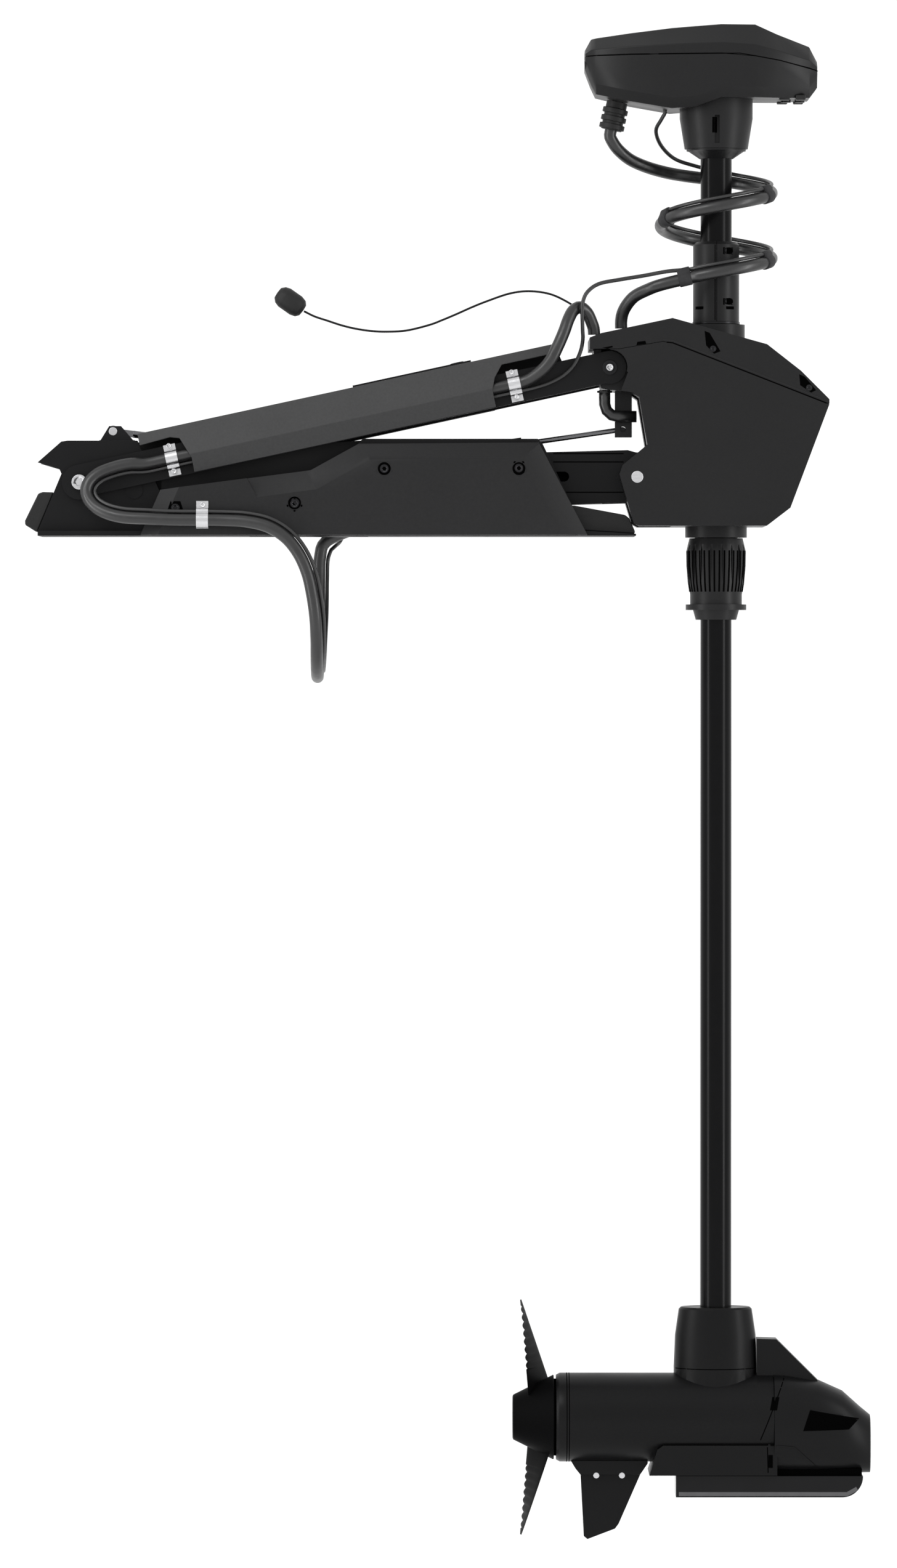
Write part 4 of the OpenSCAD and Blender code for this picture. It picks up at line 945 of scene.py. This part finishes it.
def make_housing_details():
    """The lid's seam, its raised lip in the lighter cover plastic as a painted highlight, the
    recesses in it as dark patches of painted shade, and its screws.
    """
    gaps, lip_highlights, screws = [], [], []
    for side in (STARBOARD, PORT):
        seam = [(313, 187), (356.5, 194.5), (366.5, 193.5), (521, 133)]
        gaps.append(ribbon("housing_cover steering_housing", seam, 1.2, side, lift=0.15))
        lip = [(x, z + 2.2) for x, z in seam]
        # A raised strip above the seam in the lighter cover plastic: a real ridge with a painted
        # highlight.
        lip_highlights.append(ribbon("housing_cover", lip[1:-1] + [(516, 137.5)], 1.2, side, lift=0.35))
        # The recesses and notches are dark patches: painted shade.
        for outline in (
            [(295, 185), (306.5, 187.5), (306, 190.5), (295.5, 188.5)],
            [(330, 191), (340, 192.5), (339, 195.5), (331, 194.5)],
            [(398.5, 205.5), (403.5, 203.5), (414.5, 185), (408, 182.5), (400, 191)],
            [(493.5, 162), (499, 159.5), (510.5, 146), (505.5, 143.5), (494.5, 151)],
        ):
            gaps.append(patch("housing_cover steering_housing", outline, side))
        for x, z in ((407, 187.5), (503.5, 148.5)):
            screws.append(screw_head("housing_cover steering_housing", x, z, 3.2, side))
    group("housing_gaps", gaps, GAP, "steering_housing")
    group("cover_lip_highlights", lip_highlights, COVER, "steering_housing")
    group("cover_lock_screws", screws, SCREW, "steering_housing")


def make_base_details():
    """Five-sided wells in the side covers, each a dark patch of painted shade, with a screw head
    in each.
    """
    for node, side in (("right_base_cover", STARBOARD), ("left_base_cover", PORT)):
        gaps, screws = [], []
        for x, z in ((-132.5, 27.5), (-13, 32), (77, 67), (212, 67.5)):
            outline = [
                (x + 8.5 * math.sin(a), z + 8.5 * math.cos(a))
                for a in [math.radians(36 + 72 * j) for j in range(5)]
            ]
            # Each well is a dark patch: painted shade.
            gaps.append(patch(node + " base_cover_screws", outline, side))
            screws.append(screw_head(node + " base_cover_screws", x, z, 4.3, side, lift=1.3))
        group(node + "_wells", gaps, GAP, "base")
        group(node + "_heads", screws, SCREW, "base")


def make_arm_details():
    """Lines along the lower arm and the clips' screws."""
    gaps = []
    for side in (STARBOARD, PORT):
        for z in (83.2, 74.8, 44.2):
            gaps.append(ribbon("lower_arm", [(247, z), (318, z)], 1.1, side))
    group("lower_arm_gaps", gaps, GAP, "lower_arm")
    over = "arm_cable_clips upper_arm_cover upper_arm_frame"
    heads = [
        screw_head(over, x, z, 2.6, STARBOARD, lift=0.9)
        for x, z in ((-140, 90.5), (-134.5, 64.8), (204.8, 164.6), (210, 139.4))
    ]
    group("arm_clip_screws", heads, STEEL, "upper_arm")
    head = screw_head("base_cable_clip right_base_cover", -105, 30.6, 2.6, STARBOARD, lift=0.9)
    group("base_clip_screw", [head], STEEL, "base")


def make_collar_details():
    """The split of the depth collar, and its small recesses as dark patches of painted shade."""
    gaps = [ribbon("depth_collar", [(410.3, 218), (410.3, 296)], 0.8, side) for side in (-1, 1)]
    for side in (STARBOARD, PORT):
        # The recesses are dark patches: painted shade.
        for box in (
            (418.5, 284.5, 428.5, 291.5), (418.5, 233.5, 428.5, 240), (391, 229, 398.5, 232),
            (421.5, 229, 429.5, 232),
        ):
            gaps.append(patch("depth_collar", rectangle(*box), side))
    group("depth_collar_gaps", gaps, GAP, "steering_sleeve")


def make_motor_details():
    """Seams, recesses and ridges of the motor tube, strut cap and nose; the recesses are dark
    patches of painted shade.
    """
    tube_r = box_mm("motor_tube")[1].y
    gaps, ridges = [], []
    inner, outer, width = tube_r - 1, tube_r + INLAY_LIFT, 0.8
    for x in (260.5, 263):
        profile = [(inner, x), (outer, x), (outer, x + width), (inner, x + width)]
        gaps.append(lathe("seam", profile, MOTOR_AXIS))
    for side in (STARBOARD, PORT):
        gaps.append(ribbon("strut_cap motor_tube", [(371, -841.5), (452, -841.5)], 0.9, side))
        gaps.append(ribbon("nose_cone motor_tube", [(481, -849), (456, -912)], 1.0, side))
        gaps.append(ribbon("nose_cone motor_tube", [(463, -919), (463.8, -945)], 1.0, side))
        # The intake and the small recesses are dark patches: painted shade.
        for outline in (
            [(506, -881.5), (556, -891), (545.5, -901.5), (499, -902.5)],
            [(468, -868.5), (475, -868.5), (472.5, -881.5), (465.5, -881.5)],
            [(464, -927), (468.5, -927), (468.5, -940), (464, -940)],
        ):
            gaps.append(patch("nose_cone motor_tube", outline, side, lift=0.3, rows=9))
        for line, width, lift in (
            ([(464, -917), (490, -919), (514, -941)], 1.2, 0.7),
            ([(507, -880.8), (556, -890.3)], 0.9, 0.5),
        ):
            ridges.append(ribbon("nose_cone motor_tube", line, width, side, lift=lift))
    group("motor_gaps", gaps, GAP, "shaft_and_motor")
    group("nose_ridges", ridges, LOWER_UNIT, "shaft_and_motor")


def make_seals():
    """Painted shade in the gaps behind the propeller hub and over the transducer, and a painted
    highlight along the transducer's lower edge.
    """
    hub_end, bell_start = box_mm("propeller")[1].x, box_mm("tail_bell")[0].x
    bore, rim = 13, 39
    profile = [(bore, hub_end), (rim, hub_end), (rim, bell_start), (bore, bell_start)]
    # A black ring in the gap behind the hub: painted shade.
    place(lathe("hub_gap_shade", profile, MOTOR_AXIS), GAP, "shaft_and_motor")
    low, high = box_mm("transducer")
    nose_low = box_mm("nose_cone")[0].z
    corner = (low.x + 3, low.y + 3, high.z - 0.5)
    # A black block in the gap between the transducer and the nose: painted shade.
    transducer_gap_shade = block("transducer_gap_shade", corner, (high.x - 1, high.y - 3, nose_low + 6), 0.6)
    place(transducer_gap_shade, GAP, "shaft_and_motor")
    # A lighter grey strip along the transducer's lower edge: a painted highlight.
    line = [(low.x + 3, low.z + 3.4), (high.x - 16, low.z + 3.4), (high.x - 6, low.z + 9)]
    rim_highlights = [ribbon("transducer", line, 4, side, lift=0.2) for side in (STARBOARD, PORT)]
    group("transducer_rim_highlight", rim_highlights, RIM_HIGHLIGHT, "shaft_and_motor")


def make_pins():
    """Pin heads over the pivots, and dark plates that close the view through the arm."""
    heads, caps = [], []
    for side in (STARBOARD, PORT):
        over = "front_pivot_bolts upper_arm_frame"
        heads.append(screw_head(over, PIVOT_A.x, PIVOT_A.z, 3.6, side))
        ends = side * CHEEK_Y, side * (CHEEK_Y + 1.2)
        caps.append(disc(PIVOT_C.x, PIVOT_C.z, 8.6, *ends, sides=48))
    group("front_pivot_heads", heads, STEEL, "steering_housing")
    group("lower_arm_pin_caps", caps, EXTRUSION, "base")
    rings = [
        screw_head("arm_pivot_bolts base_frame", PIVOT_P.x, PIVOT_P.z, 7.6, side, 0.8, reach=0.7)
        for side in (STARBOARD, PORT)
    ]
    group("arm_pivot_heads", rings, STEEL, "base")
    pin = disc(316.8, 106.3, 4.2, -11, 11)
    pin.name = "front_strut_pin"
    place(bevelled(pin, 0.4), DARK_STEEL, "steering_housing")
    near = [(-148, 6), (58, 6), (58, 96.5), (-60, 88), (-148, 68)]
    below_strut = [(-148, 6), (58, 6), (58, 60), (-60, 74), (-148, 68)]
    webs = [prism("web", near, -36, -34), prism("web", below_strut, 34, 36)]
    group("channel_webs", webs, EXTRUSION, "base")
    corners = [(64, 11), (503, 11), (499, 31), (66, 31)]
    outline = [(p.x, p.z) for p in [arm_point(u, v, 0) for u, v in corners]]
    place(prism("arm_web", outline, 19, 21), EXTRUSION, "upper_arm")
    wall = box_mm("lower_arm")[0].y + 4.2
    shades_y = [sorted((side * wall, side * (wall + 0.6))) for side in (PORT, STARBOARD)]
    slots = [prism("slot_shade", rectangle(228, 51, 266, 69), *ends) for ends in shades_y]
    group("slot_shades", slots, GAP, "lower_arm")


def make_collar_ribs():
    """Narrow grooves down the grip of the stabiliser collar, drawn as dark strips of painted
    shade.
    """
    profile = [(28.9, -12), (30.0, -15), (29.75, -30), (28.35, -47), (27, -56)]
    half, proud, inside = 0.8, 0.15, 1
    ribs = []
    for k in range(36):
        a = math.radians(10 * k + 5)
        out, side = Vector((math.cos(a), math.sin(a), 0)), Vector((-math.sin(a), math.cos(a), 0))
        rings = []
        for r, z in profile:
            middle = Vector((SHAFT_X, 0, z))
            rings.append(
                [
                    middle + out * (r + proud) + side * half,
                    middle + out * (r + proud) - side * half,
                    middle + out * (r - inside) - side * half,
                    middle + out * (r - inside) + side * half,
                ]
            )
        ribs.append(loft("rib", rings))
    # The grooves are dark strips: painted shade.
    group("collar_grooves", ribs, GAP, "stabiliser_collar")


make_head_details()
make_housing_details()
make_base_details()
make_arm_details()
make_collar_details()
make_motor_details()
make_seals()
make_pins()
make_collar_ribs()


def blade_ring(r, turn):
    """The section of a blade at radius r, on the upper (1) or the lower (-1) side of the hub."""
    t = (r - 40) / (BLADE_TIP - 40)
    wide = max(1.2, 20 * (1 - t) + 1)
    broad = 10 + 38 * math.sqrt(max(0, 1 - (t - 0.25) ** 2 / 0.5625)) if t <= 1 else 10
    trailing = 220.7 - 6.7 * t
    scallop = 1.9 * (1 - abs(math.sin(math.pi * (r - 50) / 8))) if 50 < r < 114 else 0
    thick = 2.6 - 1.6 * t
    slope = math.atan2(wide, broad)
    ring = []
    for j in range(16):
        a = 2 * math.pi * j / 16
        share = 0.5 - 0.5 * math.cos(a)
        lift = thick * math.sin(a) * 0.5
        x = trailing + scallop + (wide - scallop) * share - lift * math.cos(slope)
        y = broad * (share - 0.5) + lift * math.sin(slope)
        ring.append(MOTOR_AXIS + Vector((x, y * turn, r * turn)))
    return ring


def make_propeller():
    """Hub and two blades; their trailing edges are scalloped."""
    profile = [
        (14, 207), (21, 206.2), (22.8, 207), (42.2, 246), (42.8, 247), (42.4, 247.9), (13, 247.9),
        (13, 216), (14, 216),
    ]
    hub = lathe("hub", profile, MOTOR_AXIS, sharp=35)
    blades = [
        loft("blade", [blade_ring(r, turn) for r in range(BLADE_ROOT, BLADE_TIP + 1)], sharp=50)
        for turn in (1, -1)
    ]
    group("propeller_body", [hub, *blades], BLADE, "propeller", ["propeller"])


make_propeller()


# ---------------------------------------------------------------- stage and light


def make_stage():
    """A wide pale floor. The pale sky behind it leaves the object free from every side."""
    pale = moulded(
        "pale_floor", (0.94, 0.94, 0.94), 0.9, grain=400, depth=0, patch=9000, shine=0.1, vary=0.01
    )
    floor_z, wide = -1130, 60000
    points = [(x, y, floor_z) for x, y in rectangle(-wide, -wide, wide, wide)]
    paint(add_mesh("floor", points, [(0, 1, 2, 3)]), pale)


def make_light(name, spot, target, size, power):
    """A rectangular light at one place that faces another. Places and sizes in millimetres."""
    data = bpy.data.lights.new(name, "AREA")
    data.shape = "RECTANGLE"
    data.size, data.size_y = mm(size[0]), mm(size[1])
    data.energy = power
    light = bpy.data.objects.new(name, data)
    light.location = mm(*spot)
    aim = mm(*target) - mm(*spot)
    light.rotation_euler = aim.to_track_quat("-Z", "Y").to_euler()
    bpy.context.scene.collection.objects.link(light)


def make_lights():
    """An even pale sky, a large key light and two tall strips for the gloss."""
    world = bpy.data.worlds.new("studio")
    world.use_nodes = True
    world.node_tree.nodes["Background"].inputs["Color"].default_value = (1, 1, 1, 1)
    world.node_tree.nodes["Background"].inputs["Strength"].default_value = 1.15
    bpy.context.scene.world = world
    middle = (140, 0, -150)
    make_light("key", (-1800, -2600, 2600), middle, (2200, 1600), 60)
    make_light("left_strip", (-2300, -1500, -200), middle, (500, 3400), 45)
    make_light("right_strip", (2700, -1300, -100), middle, (500, 3400), 45)


make_stage()
make_lights()
